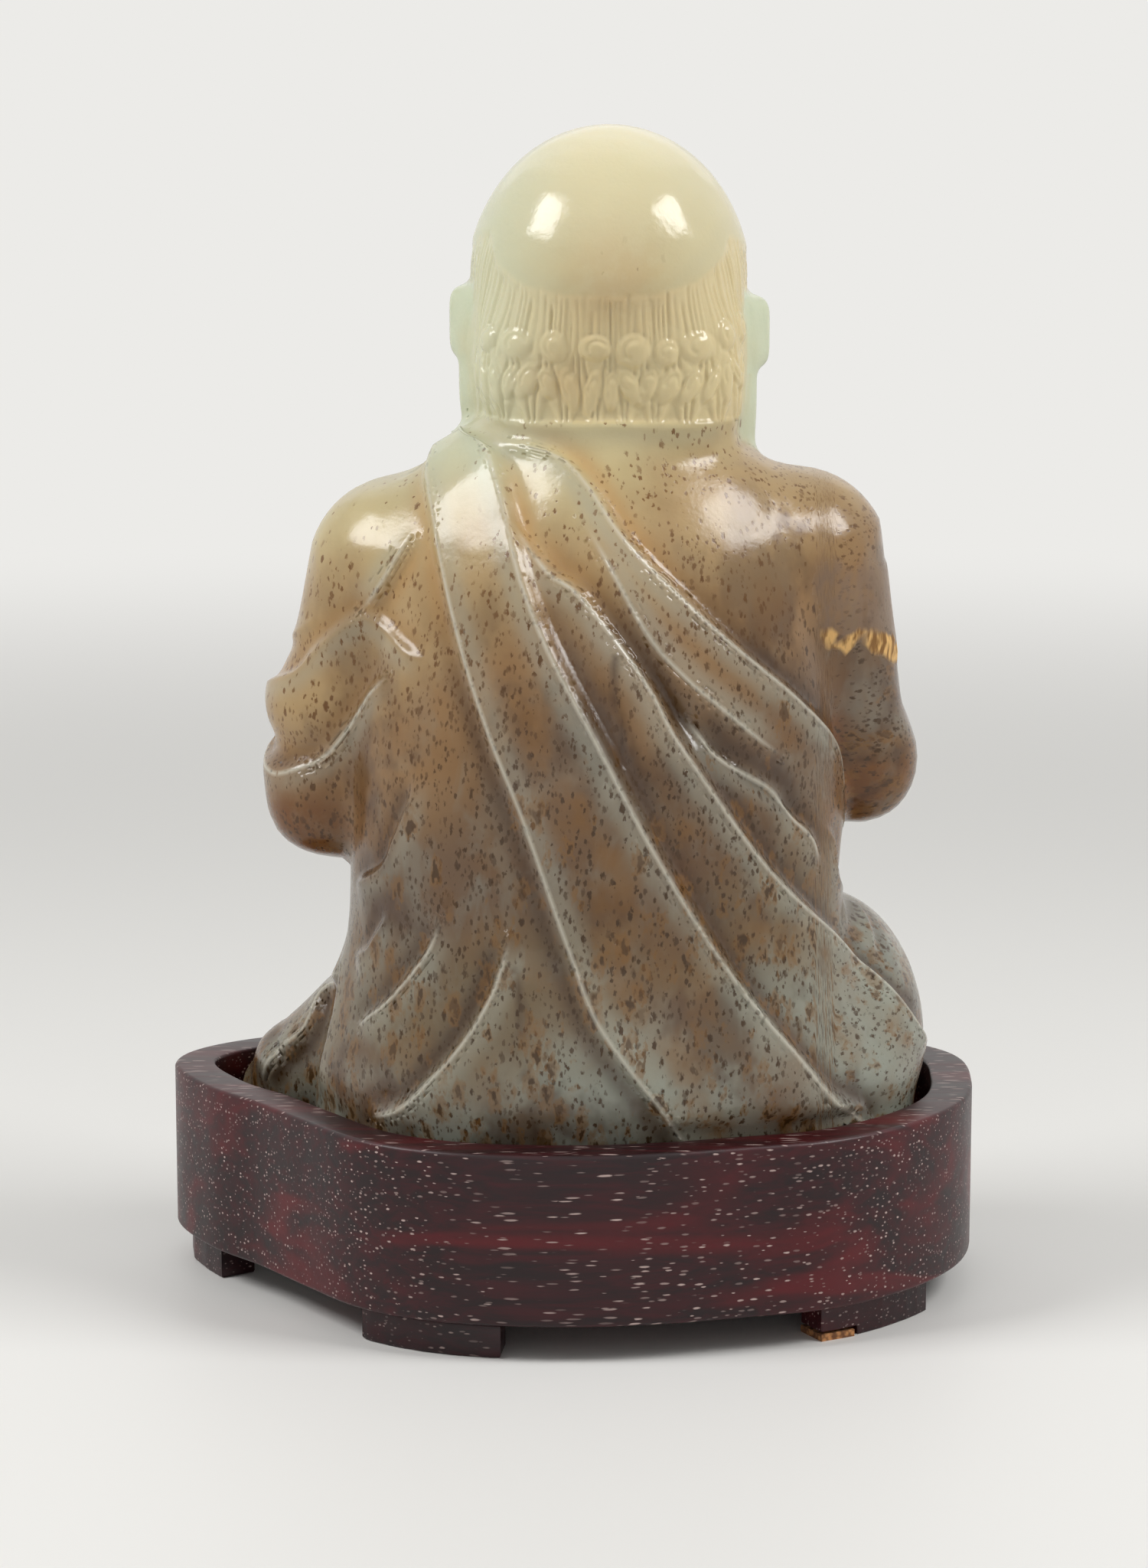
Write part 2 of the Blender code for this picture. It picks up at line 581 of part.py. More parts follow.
def add_mass(bm, mass):
    """A mass as an ellipsoid, or as a cone between two spheres."""
    if isinstance(mass, Ball):
        place = Matrix.Translation(mass.centre) @ Matrix.Rotation(math.radians(mass.turn), 4, "Z")
        place = place @ Matrix.Diagonal((*mass.radii, 1.0))
        bmesh.ops.create_uvsphere(bm, u_segments=32, v_segments=20, radius=1.0, matrix=place)
        return
    radii = mass.start_radius, mass.end_radius
    for centre, radius in zip((mass.start, mass.end), radii):
        bmesh.ops.create_icosphere(bm, subdivisions=3, radius=radius, matrix=Matrix.Translation(centre))
    axis = Vector(mass.end - mass.start)
    turn = axis.to_track_quat("Z", "Y").to_matrix().to_4x4()
    place = Matrix.Translation((mass.start + mass.end) / 2) @ turn
    bmesh.ops.create_cone(
        bm, cap_ends=True, segments=24, radius1=radii[0], radius2=radii[1], depth=axis.length,
        matrix=place,
    )


def rough_mesh():
    """All the masses fused into one even skin."""
    bm = bmesh.new()
    for mass in MASSES:
        add_mass(bm, mass)
    mesh = bpy.data.meshes.new("masses")
    bm.to_mesh(mesh)
    bm.free()
    rough = new_object("masses", mesh, bpy.context.scene.collection)
    remesh = rough.modifiers.new("Fuse", "REMESH")
    remesh.mode = "VOXEL"
    remesh.voxel_size = FIGURE_VOXEL
    return baked_mesh(rough)


def relaxed(points, edges, rounds=4):
    """Points spread evenly over the form, each time drawn to their neighbours' middle."""
    ends = np.concatenate([edges, edges[:, ::-1]])
    count = np.bincount(ends[:, 0], minlength=len(points))[:, None]
    for _ in range(rounds):
        total = [np.bincount(ends[:, 0], points[ends[:, 1], i], len(points)) for i in range(3)]
        points = points + 0.5 * (np.stack(total, axis=1) / count - points)
        points = settled(points, 1)
    return points


def kept_in_socket(points):
    """Points near and below the rim drawn in until they clear the socket's wall."""
    low = np.flatnonzero(points[:, 2] < RIM_ABOVE_SEAT + 4 * MM)
    closed = np.concatenate([SEAT_WALL, SEAT_WALL[:1]])
    gap = beside(points[low, :2], closed)[2]
    allowed = np.maximum(points[low, 2] - RIM_ABOVE_SEAT - MM, 0)
    excess = outline_distance(points[low, :2], SEAT_WALL) - allowed
    share = np.maximum(excess, 0) / np.maximum(np.linalg.norm(gap, axis=1), 0.01 * MM)
    points[low, :2] -= gap * share[:, None]
    return points


def coordinates(mesh):
    flat = np.empty(3 * len(mesh.vertices))
    mesh.vertices.foreach_get("co", flat)
    return flat.reshape(-1, 3)


def jade_figure(collection):
    mesh = rough_mesh()
    edges = np.empty(2 * len(mesh.edges), int)
    mesh.edges.foreach_get("vertices", edges)
    points = relaxed(settled(coordinates(mesh)), edges.reshape(-1, 2))
    points = settled(points, 2)
    normals = normals_at(points)
    points = points + carving(points, normals)[:, None] * normals
    mesh.vertices.foreach_set("co", points.ravel())
    carved = new_object("carved", mesh, bpy.context.scene.collection)
    thin = carved.modifiers.new("Facet", "DECIMATE")
    thin.ratio = FIGURE_TRIANGLES / (2 * len(mesh.vertices))
    mesh = baked_mesh(carved)
    mesh.vertices.foreach_set("co", kept_in_socket(coordinates(mesh)).ravel())
    mesh = cut_flat(mesh)
    figure = new_object("jade_figure", mesh, collection)
    figure.location.z = SEAT_HEIGHT
    mesh.shade_smooth()
    mesh.set_sharp_from_angle(angle=math.radians(50))
    mesh.materials.append(material("jade", (0.33, 0.22, 0.13), 0.12))
    return figure


def cut_flat(mesh):
    """The figure's seat: all below it is cut off, and the cut is closed with a flat face."""
    bm = bmesh.new()
    bm.from_mesh(mesh)
    everything = bm.verts[:] + bm.edges[:] + bm.faces[:]
    down = (0, 0, -1)
    bmesh.ops.bisect_plane(bm, geom=everything, plane_co=(0, 0, 0), plane_no=down, clear_outer=True)
    rim = [edge for edge in bm.edges if edge.is_boundary]
    bmesh.ops.holes_fill(bm, edges=rim)
    bmesh.ops.triangulate(bm, faces=[face for face in bm.faces if len(face.verts) > 4])
    bmesh.ops.recalc_face_normals(bm, faces=bm.faces[:])
    bm.to_mesh(mesh)
    bm.free()
    return mesh


def prism(name, outline, bottom, top, collection):
    """A flat outline raised into a solid: a filled 2D curve with an extrusion, as a mesh."""
    curve = bpy.data.curves.new(name, "CURVE")
    curve.dimensions = "2D"
    curve.fill_mode = "BOTH"
    curve.extrude = (top - bottom) / 2
    spline = curve.splines.new("POLY")
    spline.points.add(len(outline) - 1)
    for point, (x, y) in zip(spline.points, outline):
        point.co = (x, y, 0.0, 1.0)
    spline.use_cyclic_u = True
    drawn = new_object(name + "_outline", curve, collection)
    mesh = baked_mesh(drawn)
    bpy.data.curves.remove(curve)
    mesh.transform(Matrix.Translation((0, 0, (top + bottom) / 2)))
    bm = bmesh.new()
    bm.from_mesh(mesh)
    bmesh.ops.remove_doubles(bm, verts=bm.verts, dist=0.01 * MM)
    bmesh.ops.recalc_face_normals(bm, faces=bm.faces[:])
    bm.to_mesh(mesh)
    bm.free()
    return new_object(name, mesh, collection)


def rounded(piece, width, segments=2):
    edge = piece.modifiers.new("Round", "BEVEL")
    edge.width = width
    edge.segments = segments
    edge.limit_method = "ANGLE"
    edge.angle_limit = math.radians(50)
    edge.use_clamp_overlap = True


def as_cutter(piece):
    piece.hide_render = True
    piece.display_type = "WIRE"


def cut_by(piece, cutter):
    cut = piece.modifiers.new("Cut", "BOOLEAN")
    cut.operation = "DIFFERENCE"
    cut.solver = "EXACT"
    cut.object = cutter


def wood_block(collection, cutters):
    """The stand's block, sawn to follow the figure, with the socket sunk in its top."""
    block = prism("stand_block", BLOCK_WALL, BLOCK_BOTTOM, RIM_TOP, collection)
    socket = prism("socket_cutter", SOCKET_WALL, RIM_TOP - SOCKET_DEPTH, RIM_TOP + SOCKET_DEPTH, cutters)
    as_cutter(socket)
    cut_by(block, socket)
    rounded(block, BLOCK_EDGE_ROUND)
    block.data.materials.append(material("stand_wood", (0.045, 0.012, 0.013), 0.28))
    return block


def bearing_index(wall, bearing):
    """Index of the wall's point that lies nearest a bearing from the stand's middle."""
    bearings = np.arctan2(wall[:, 1], wall[:, 0])
    turn = np.angle(np.exp(1j * (bearings - math.radians(bearing))))
    return int(np.abs(turn).argmin())


def foot_outline(bearing, length, inset, width):
    """A strip of the block's outline, set in from its wall, centred on a bearing."""
    wall = offset_outline(BLOCK_WALL, -inset)
    wall = np.roll(wall, -bearing_index(wall, bearing) + len(wall) // 2, axis=0)
    travelled = np.concatenate([[0], np.cumsum(np.linalg.norm(np.diff(wall, axis=0), axis=1))])
    travelled -= travelled[len(wall) // 2]
    stops = np.linspace(-length / 2, length / 2, 9)
    outer = np.stack([np.interp(stops, travelled, wall[:, i]) for i in range(2)], axis=1)
    run = np.gradient(outer, axis=0)
    run /= np.linalg.norm(run, axis=1)[:, None]
    inner = outer - width * np.stack([run[:, 1], -run[:, 0]], axis=1)
    return np.concatenate([outer, inner[::-1]])


def shim_outline(play, overhang):
    """The shim's outline under one end of its foot. A notch has play and overhangs the foot."""
    strip = foot_outline(
        FOOT_BEARINGS[SHIMMED_FOOT], FOOT_LENGTH, FOOT_INSET - overhang, FOOT_WIDTH + 2 * overhang
    )
    start, end = strip[0], strip[-1]
    run = (strip[1] - start) / np.linalg.norm(strip[1] - start)
    back, ahead = -overhang * run, (SHIM_LENGTH + play) * run
    return np.array([start + back, start + ahead, end + ahead, end + back])


def stand_feet(collection, cutters):
    """Four feet glued under the block, one of them notched for its shim."""
    wood = material("foot_wood", (0.03, 0.01, 0.01), 0.35)
    for name, bearing in FOOT_BEARINGS.items():
        outline = foot_outline(bearing, FOOT_LENGTH, FOOT_INSET, FOOT_WIDTH)
        foot = prism(name, outline, 0.0, FOOT_HEIGHT, collection)
        foot.data.materials.append(wood)
        if name == SHIMMED_FOOT:
            sides = shim_outline(SEAT_GAP, FOOT_INSET)
            notch = prism("shim_notch", sides, -FOOT_HEIGHT, SHIM_THICKNESS + SEAT_GAP, cutters)
            as_cutter(notch)
            cut_by(foot, notch)
        rounded(foot, FOOT_EDGE_ROUND, 1)


def cork_shim(collection):
    shim = prism("cork_shim", shim_outline(0.0, 0.0), 0.0, SHIM_THICKNESS, collection)
    shim.data.materials.append(material("cork", (0.45, 0.26, 0.11), 0.85))
    return shim


def main():
    for leftover in list(bpy.data.objects):
        bpy.data.objects.remove(leftover)
    parts = bpy.data.collections.new("jade_bodhidharma_figure")
    cutters = bpy.data.collections.new("cutters")
    for collection in (parts, cutters):
        bpy.context.scene.collection.children.link(collection)
    cutters.hide_render = True
    jade_figure(parts)
    wood_block(parts, cutters)
    stand_feet(parts, cutters)
    cork_shim(parts)


main()
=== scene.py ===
"""Jade figure of a seated monk in its fitted hardwood stand: finished surfaces and studio.

The figure is one skin. Rounded masses, each worked out on a grid, are fused into an even
skin, which is drawn onto their exact form, made finer where there is carving, and then
raised and sunk along its normals by folds, hair, curls and the face. The stand's pieces
are profiles carried round the socket's outline. The figure faces -Y.
"""

import json
import math
from collections import namedtuple

import bmesh
import bpy
import numpy as np
from bpy.props import FloatProperty, FloatVectorProperty, PointerProperty
from mathutils import Matrix, Vector

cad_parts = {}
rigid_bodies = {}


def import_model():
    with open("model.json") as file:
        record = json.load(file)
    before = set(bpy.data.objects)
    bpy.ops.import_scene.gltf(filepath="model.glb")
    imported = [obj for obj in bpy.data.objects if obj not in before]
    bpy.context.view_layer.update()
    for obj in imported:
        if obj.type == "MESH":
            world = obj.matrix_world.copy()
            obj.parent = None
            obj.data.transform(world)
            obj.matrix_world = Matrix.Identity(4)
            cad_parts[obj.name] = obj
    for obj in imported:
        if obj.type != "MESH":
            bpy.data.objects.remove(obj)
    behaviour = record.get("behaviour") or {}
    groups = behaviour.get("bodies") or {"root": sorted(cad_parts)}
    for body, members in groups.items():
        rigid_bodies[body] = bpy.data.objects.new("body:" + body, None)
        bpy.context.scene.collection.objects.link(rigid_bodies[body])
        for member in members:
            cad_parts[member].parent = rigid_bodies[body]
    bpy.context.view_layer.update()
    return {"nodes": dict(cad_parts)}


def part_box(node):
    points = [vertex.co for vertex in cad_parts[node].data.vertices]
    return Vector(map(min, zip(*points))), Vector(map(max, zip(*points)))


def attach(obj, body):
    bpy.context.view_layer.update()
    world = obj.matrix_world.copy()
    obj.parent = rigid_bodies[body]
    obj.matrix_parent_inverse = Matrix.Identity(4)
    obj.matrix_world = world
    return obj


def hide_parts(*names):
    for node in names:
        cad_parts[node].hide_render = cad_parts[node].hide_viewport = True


bl_info = {
    "name": "Jade figure on a hardwood stand",
    "version": (1, 0, 0),
    "blender": (4, 5, 0),
    "location": "3D View > Sidebar > Jade figure",
    "description": "Builds a carved jade figure, its fitted stand and a plain studio",
    "category": "Object",
}

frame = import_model()

MM = 0.001


def mm(*lengths):
    """Millimetres as an array of metres."""
    return np.array(lengths, float) * MM


def srgb(red, green, blue):
    """A colour as it is seen, from 0 to 255, as the linear values that Blender takes."""
    seen = np.array([red, green, blue]) / 255
    return tuple(np.where(seen < 0.04045, seen / 12.92, ((seen + 0.055) / 1.055) ** 2.4))


# Heights and places of the pieces, read from the frame
BLOCK_LOW, BLOCK_HIGH = (np.array(corner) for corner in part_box("stand_block"))
FIGURE_LOW, FIGURE_HIGH = (np.array(corner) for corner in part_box("jade_figure"))
FOOT_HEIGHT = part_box("foot_back_left")[1].z
STAND_MIDDLE = (BLOCK_LOW + BLOCK_HIGH) / 2 * (1, 1, 0)
BLOCK_BOTTOM, RIM_TOP = BLOCK_LOW[2], BLOCK_HIGH[2]
SEAT_HEIGHT = FIGURE_LOW[2]
SEAT_MIDDLE = STAND_MIDDLE + (0, 0, SEAT_HEIGHT)
RIM_ABOVE_SEAT = RIM_TOP - SEAT_HEIGHT
SEAT_GAP = BLOCK_BOTTOM - FOOT_HEIGHT

RIM_WIDTH = 5.5 * MM
SOCKET_CLEARANCE = 0.5 * MM
SOCKET_FLOOR = SEAT_HEIGHT - SEAT_GAP

# Socket's wall seen from above, as a closed smooth curve through these places
SOCKET_OUTLINE = mm(
    (48.5, -15.5), (44.0, -4.0), (37.0, 4.5), (30.5, 13.5), (23.0, 23.0), (13.5, 28.0),
    (1.5, 29.5), (-9.5, 28.5), (-21.0, 25.5), (-31.5, 22.0), (-40.5, 14.5), (-46.5, 5.0),
    (-48.5, -6.0), (-47.5, -17.5), (-38.5, -24.0), (-16.0, -29.0), (8.0, -29.5),
    (30.0, -26.5), (41.5, -23.5),
)
OUTLINE_STEPS = 3

# Figure, measured from the middle of its seat: joints of the body and radii round them
HEAD = mm(-4.9, -3.0, 116.0)
SKULL = mm(17.9, 19.5, 19.4)
EAR_TOP = mm(2.7, 5.2, 4.8)
EAR_LOBE = mm(2.6, 5.0, 10.0)
EAR_TURN = 48.0
NECK_BASE = mm(-4.5, 1.0, 90.0)
NECK_RADIUS = 12.5 * MM
SHOULDERS = mm(-4.0, 2.0, 81.0)
SHOULDER_SPREAD = mm(30.0, 16.5, 13.4)
TRAPEZIUS_RISE = 6.0 * MM
CHEST = mm(-3.0, 4.0, 62.0)
CHEST_SPREAD = mm(30.5, 22.0, 32.0)
WAIST = mm(-3.0, 3.5, 32.0)
WAIST_SPREAD = mm(32.0, 25.5, 38.0)
HIPS = mm(-6.0, 2.0, 6.0)
HIP_SPREAD = mm(40.0, 29.0, 28.0)
SLEEVED_SHOULDER = mm(21.9, 0.0, 78.2)
SLEEVED_ELBOW = mm(29.2, -3.0, 49.4)
SLEEVE_RADIUS = 12.3 * MM
BARE_SHOULDER = mm(-29.0, 0.0, 79.3)
BARE_ELBOW = mm(-37.0, -4.0, 53.0)
BARE_ARM_RADIUS = 12.4 * MM
HANDS = mm(-3.0, -22.0, 45.0)
FINGER_RADIUS = 1.9 * MM
RIGHT_KNEE = mm(-33.0, -6.0, 14.5)
RIGHT_KNEE_SPREAD = mm(14.3, 20.0, 20.0)
LEFT_THIGH = mm(15.0, -8.0, 21.5)
LEFT_KNEE = mm(36.0, -14.0, 7.5)
SHIN_RADIUS = 9.0 * MM

# How steeply the figure may swell above the rim, and how softly it bends into the socket
SWELL_OVER_RIM = 0.5
SEAT_BLEND = 4.5 * MM

# A ball is an ellipsoid, squarer with a higher power. A limb is a cone with round ends.
# Both flow into the masses before them over the length of their blend.
Ball = namedtuple("Ball", "centre radii blend turn power", defaults=(0.0, 0.0, 2.0))
Limb = namedtuple("Limb", "start end start_radius end_radius blend")


def in_head(side, forward, up):
    """A place in the head, in skull radii from its middle."""
    return HEAD + SKULL * np.array([side, -forward, up])


def torso_masses():
    return [
        Ball(HIPS, HIP_SPREAD),
        Ball(WAIST, WAIST_SPREAD, 12 * MM),
        Ball(CHEST, CHEST_SPREAD, 12 * MM),
        Ball(SHOULDERS, SHOULDER_SPREAD, 8 * MM),
        Ball(SHOULDERS + (0, 0, TRAPEZIUS_RISE), SHOULDER_SPREAD * (0.8, 0.82, 0.78), 5 * MM),
    ]


def sleeved_arm_masses():
    """The left arm, in its wide sleeve: two full rolls of cloth above the wrist."""
    roll = SLEEVED_SHOULDER * 0.38 + SLEEVED_ELBOW * 0.62
    wrist = HANDS + mm(8, 1, 0)
    return [
        Limb(SLEEVED_SHOULDER, roll, SLEEVE_RADIUS, SLEEVE_RADIUS * 0.92, 3 * MM),
        Ball(roll + mm(3.2, -0.2, -0.2), SLEEVE_RADIUS * np.array([0.83, 0.9, 0.69]), 2 * MM),
        Ball(SLEEVED_ELBOW, SLEEVE_RADIUS * np.array([0.88, 0.9, 0.75]), 2 * MM, 0, 2.6),
        Limb(SLEEVED_ELBOW - mm(0, 2, 0), wrist, SLEEVE_RADIUS * 0.74, SLEEVE_RADIUS * 0.55, 3 * MM),
    ]


def bare_arm_masses():
    """The right arm, bare from the shoulder to the hand."""
    wrist = HANDS + mm(-9, 1, 1)
    elbow_radius = BARE_ARM_RADIUS * 0.63
    return [
        Limb(BARE_SHOULDER, BARE_ELBOW + mm(0, 1, 0), BARE_ARM_RADIUS, elbow_radius, 2.5 * MM),
        Ball(BARE_ELBOW, elbow_radius * np.array([0.98, 1.08, 1.0]), 2.5 * MM, 0, 2.5),
        Limb(BARE_ELBOW, wrist, elbow_radius * 0.96, elbow_radius * 0.7, 3 * MM),
    ]


def hand_masses():
    """The right hand's back, fingers and thumb, laid over the left sleeve's cuff."""
    palm = HANDS + mm(-3, -3, 0)
    masses = [Ball(palm, mm(6.5, 3.2, 5.4), 2 * MM)]
    for finger in range(4):
        root = palm + mm(3.5, -1.2, 3.8 - 2.6 * finger)
        tip = root + mm(9.5 - abs(finger - 1.5), 1.2, -1.5)
        masses.append(Limb(root, tip, FINGER_RADIUS, FINGER_RADIUS * 0.8, 0.6 * MM))
    thumb = palm + mm(-1, -1, 5)
    masses.append(Limb(thumb, thumb + mm(6.5, -0.5, 2), FINGER_RADIUS * 1.1, FINGER_RADIUS * 0.9, MM))
    return masses


def leg_masses():
    """Crossed legs under the robe, with the right knee high and the left one low."""
    right_foot = LEFT_KNEE * (0.1, 1.35, 0.67)
    left_foot = RIGHT_KNEE * (0.12, 3.2, 0.5)
    return [
        Ball(RIGHT_KNEE, RIGHT_KNEE_SPREAD, 2.5 * MM),
        Limb(LEFT_THIGH, LEFT_KNEE, SHIN_RADIUS * 1.45, SHIN_RADIUS * 0.85, 3.5 * MM),
        Ball(LEFT_KNEE + mm(5.5, -4.5, -3.5), SHIN_RADIUS * np.array([0.5, 0.7, 0.6]), 1.5 * MM),
        Limb(RIGHT_KNEE + mm(3, -8, -6), right_foot, SHIN_RADIUS, SHIN_RADIUS * 0.9, 5 * MM),
        Limb(LEFT_KNEE + mm(-6, 0, 0), left_foot, SHIN_RADIUS * 0.9, SHIN_RADIUS * 0.9, 5 * MM),
    ]


# Ears: places of the broad top and of the long lobe in skull radii, and the turn outward
Ear = namedtuple("Ear", "top_side top_up lobe_side lobe_up turn")
EARS = (
    Ear(0.873, -0.30, 0.83, -0.70, -EAR_TURN),
    Ear(-0.884, -0.37, -0.817, -0.74, EAR_TURN),
)


def head_masses():
    masses = [
        Limb(NECK_BASE, in_head(0, -0.05, -0.43), NECK_RADIUS, NECK_RADIUS * 0.96, 5 * MM),
        Ball(in_head(0, 0.15, -0.54), SKULL * (0.82, 0.82, 0.64), 4 * MM),
        Ball(in_head(0, -0.33, -0.66), SKULL * (0.95, 0.54, 0.68), 3 * MM, 0, 2.8),
        Ball(HEAD, SKULL, 4 * MM),
    ]
    for ear in EARS:
        masses.append(Ball(in_head(ear.lobe_side, 0.0, ear.lobe_up), EAR_LOBE, 3 * MM, ear.turn, 3.2))
        masses.append(Ball(in_head(ear.top_side, 0.06, ear.top_up), EAR_TOP, 1.5 * MM, ear.turn, 5.0))
    return masses + face_masses()


def face_masses():
    """Nose, brows, eyes, cheeks, lips and chin."""
    masses = [
        Limb(in_head(0, 0.95, 0.14), in_head(0, 1.09, -0.3), 1.6 * MM, 2.2 * MM, 2 * MM),
        Ball(in_head(0, 0.8, -0.86), mm(5.5, 4.5, 4.5), 4 * MM),
        Ball(in_head(0, 0.85, -0.6), mm(6.5, 3.6, 4.0), 3 * MM),
        Limb(in_head(-0.2, 1.0, -0.54), in_head(0.2, 1.0, -0.54), 1.1 * MM, 1.1 * MM, 0.5 * MM),
        Limb(in_head(-0.14, 1.0, -0.67), in_head(0.14, 1.0, -0.67), 1.3 * MM, 1.3 * MM, 0.5 * MM),
    ]
    for side in (-1, 1):
        arch = in_head(side * 0.38, 0.9, 0.25)
        masses += [
            Limb(in_head(side * 0.12, 0.97, 0.17), arch, 1.2 * MM, 1.3 * MM, 2 * MM),
            Limb(arch, in_head(side * 0.68, 0.7, 0.14), 1.3 * MM, 0.9 * MM, 2 * MM),
            Ball(in_head(side * 0.36, 0.87, -0.02), mm(4.2, 3.0, 2.7), 0.8 * MM),
            Ball(in_head(side * 0.13, 1.0, -0.35), mm(1.6, 1.9, 1.5), 0.8 * MM),
            Ball(in_head(side * 0.45, 0.7, -0.32), mm(5.0, 4.5, 5.0), 4 * MM),
        ]
    return masses


MASSES = torso_masses() + sleeved_arm_masses() + bare_arm_masses()
MASSES += hand_masses() + leg_masses() + head_masses()


def rotation(turn):
    """Turn in degrees about +Z as a 3 x 3 matrix."""
    return np.array(Matrix.Rotation(math.radians(turn), 3, "Z"))


def ball_distance(points, ball):
    """Distance to an ellipsoid or superellipsoid, exact to first order near its surface."""
    scaled = np.abs((points - ball.centre) @ rotation(ball.turn)) / ball.radii
    size = np.maximum((scaled**ball.power).sum(1), 1e-12) ** (1 / ball.power)
    slope = np.linalg.norm(scaled ** (ball.power - 1) / ball.radii, axis=1) * size ** (1 - ball.power)
    return (size - 1) / np.maximum(slope, 1e-6)


def limb_distance(points, limb):
    """Distance to the hull of two spheres, read along the cone's own slant."""
    axis = limb.end - limb.start
    length = np.linalg.norm(axis)
    lean = (limb.start_radius - limb.end_radius) / length
    offset = points - limb.start
    along = offset @ axis / length
    across = np.sqrt(np.maximum((offset**2).sum(1) - along**2, 0))
    along = np.clip((along + across * lean / math.sqrt(1 - lean**2)) / length, 0, 1)
    nearest = limb.start + along[:, None] * axis
    radius = limb.start_radius + along * (limb.end_radius - limb.start_radius)
    return np.linalg.norm(points - nearest, axis=1) - radius


def joined(first, second, blend):
    """Union of two distances whose crease is filled over the blend's length."""
    if blend == 0:
        return np.minimum(first, second)
    overlap = np.maximum(blend - np.abs(first - second), 0) / blend
    return np.minimum(first, second) - overlap**2 * blend / 4


def reach_of(mass):
    """Centre and radius of the sphere within which a mass shapes the surface."""
    margin = mass.blend + 6 * MM
    if isinstance(mass, Ball):
        return mass.centre, mass.radii.max() * 2 ** (0.5 - 1 / mass.power) + margin
    middle = (mass.start + mass.end) / 2
    half = np.linalg.norm(mass.end - mass.start) / 2
    return middle, half + max(mass.start_radius, mass.end_radius) + margin


def form(points):
    """Signed distance to the smooth form under the carving, below zero inside."""
    distance = np.full(len(points), 1.0)
    for mass in MASSES:
        middle, reach = reach_of(mass)
        near = ((points - middle) ** 2).sum(1) < reach**2
        measure = ball_distance if isinstance(mass, Ball) else limb_distance
        distance[near] = joined(distance[near], measure(points[near], mass), mass.blend)
    low = points[:, 2] < RIM_ABOVE_SEAT + 12 * MM
    wall = outline_distance(points[low, :2], SEAT_WALL)
    wall -= SWELL_OVER_RIM * np.maximum(points[low, 2] - RIM_ABOVE_SEAT, 0)
    distance[low] = -joined(-distance[low], -wall, SEAT_BLEND)
    return distance


def slope(points):
    """Gradient of the form at points."""
    step = 0.05 * MM
    here = form(points)
    rise = [form(points + step * axis) - here for axis in np.eye(3)]
    return here, np.stack(rise, axis=1) / step


def settled(points, rounds=4):
    """Points moved straight onto the form's surface."""
    for _ in range(rounds):
        here, gradient = slope(points)
        stretch = np.maximum((gradient**2).sum(1), 0.2)
        move = np.clip(here / stretch, -2 * MM, 2 * MM)
        points = points - move[:, None] * gradient
    return points


def normals_at(points):
    """The form's outward normals."""
    gradient = slope(points)[1]
    return gradient / np.linalg.norm(gradient, axis=1)[:, None]


def smooth_path(points, steps, closed=False):
    """Catmull-Rom curve through points, with a number of steps between each two."""
    points = np.asarray(points, float)
    if closed:
        ring = np.concatenate([points[-1:], points, points[:2]])
    else:
        ring = np.concatenate([2 * points[:1] - points[1:2], points, 2 * points[-1:] - points[-2:-1]])
    a, b, c, d = (ring[i : len(ring) - 3 + i, None] for i in range(4))
    t = np.linspace(0, 1, steps, endpoint=False)[None, :, None]
    curve = 2 * b + (c - a) * t + (2 * a - 5 * b + 4 * c - d) * t**2 + (3 * b - a - 3 * c + d) * t**3
    curve = curve.reshape(-1, points.shape[1]) / 2
    return curve if closed else np.concatenate([curve, points[-1:]])


def beside(points, path):
    """Nearest place on a path for each point: its segment, share of it and offset from it."""
    start, run = path[:-1], np.diff(path, axis=0)
    share = ((points[:, None] - start) * run).sum(-1) / (run**2).sum(-1)
    share = np.clip(share, 0, 1)
    gap = points[:, None] - start - share[..., None] * run
    segment = (gap**2).sum(-1).argmin(1)
    row = np.arange(len(points))
    return segment, share[row, segment], gap[row, segment]


def offset_outline(outline, distance):
    """A closed outline, listed anticlockwise, moved out by a distance."""
    run = np.roll(outline, -1, axis=0) - np.roll(outline, 1, axis=0)
    run /= np.linalg.norm(run, axis=1)[:, None]
    return outline + distance * np.stack([run[:, 1], -run[:, 0]], axis=1)


def outline_distance(points, outline):
    """Signed distance in the plane to a closed outline listed anticlockwise."""
    closed = np.concatenate([outline, outline[:1]])
    segment, _, gap = beside(points, closed)
    run = np.diff(closed, axis=0)[segment]
    outside = run[:, 1] * gap[:, 0] - run[:, 0] * gap[:, 1] > 0
    return np.where(outside, 1, -1) * np.linalg.norm(gap, axis=1)


def centred_walls():
    """The socket's and the block's walls, moved together until the block's box is centred."""
    socket = smooth_path(SOCKET_OUTLINE, OUTLINE_STEPS, closed=True)
    block = offset_outline(socket, RIM_WIDTH)
    middle = (block.min(0) + block.max(0)) / 2
    return socket - middle, block - middle


SOCKET_WALL, BLOCK_WALL = centred_walls()
SEAT_WALL = offset_outline(SOCKET_WALL, -SOCKET_CLEARANCE)


# Carving. A fold is a crest with one steep side, which falls past the surface into a dip,
# and one gentle side. Its path is given in millimetres from the seat's middle: two numbers
# are a place on the back as seen from behind, and three are a place close to the surface.
Fold = namedtuple("Fold", "path height steep gentle dip dip_width side fade")


def fold(path, height, steep, gentle, dip=0.0, dip_width=1.0, side=1, fade=5.0):
    """A fold in millimetres. Its steep side is to the right of its path, or left for side -1."""
    return Fold(path, height * MM, steep * MM, gentle * MM, dip * MM, dip_width * MM, side, fade * MM)


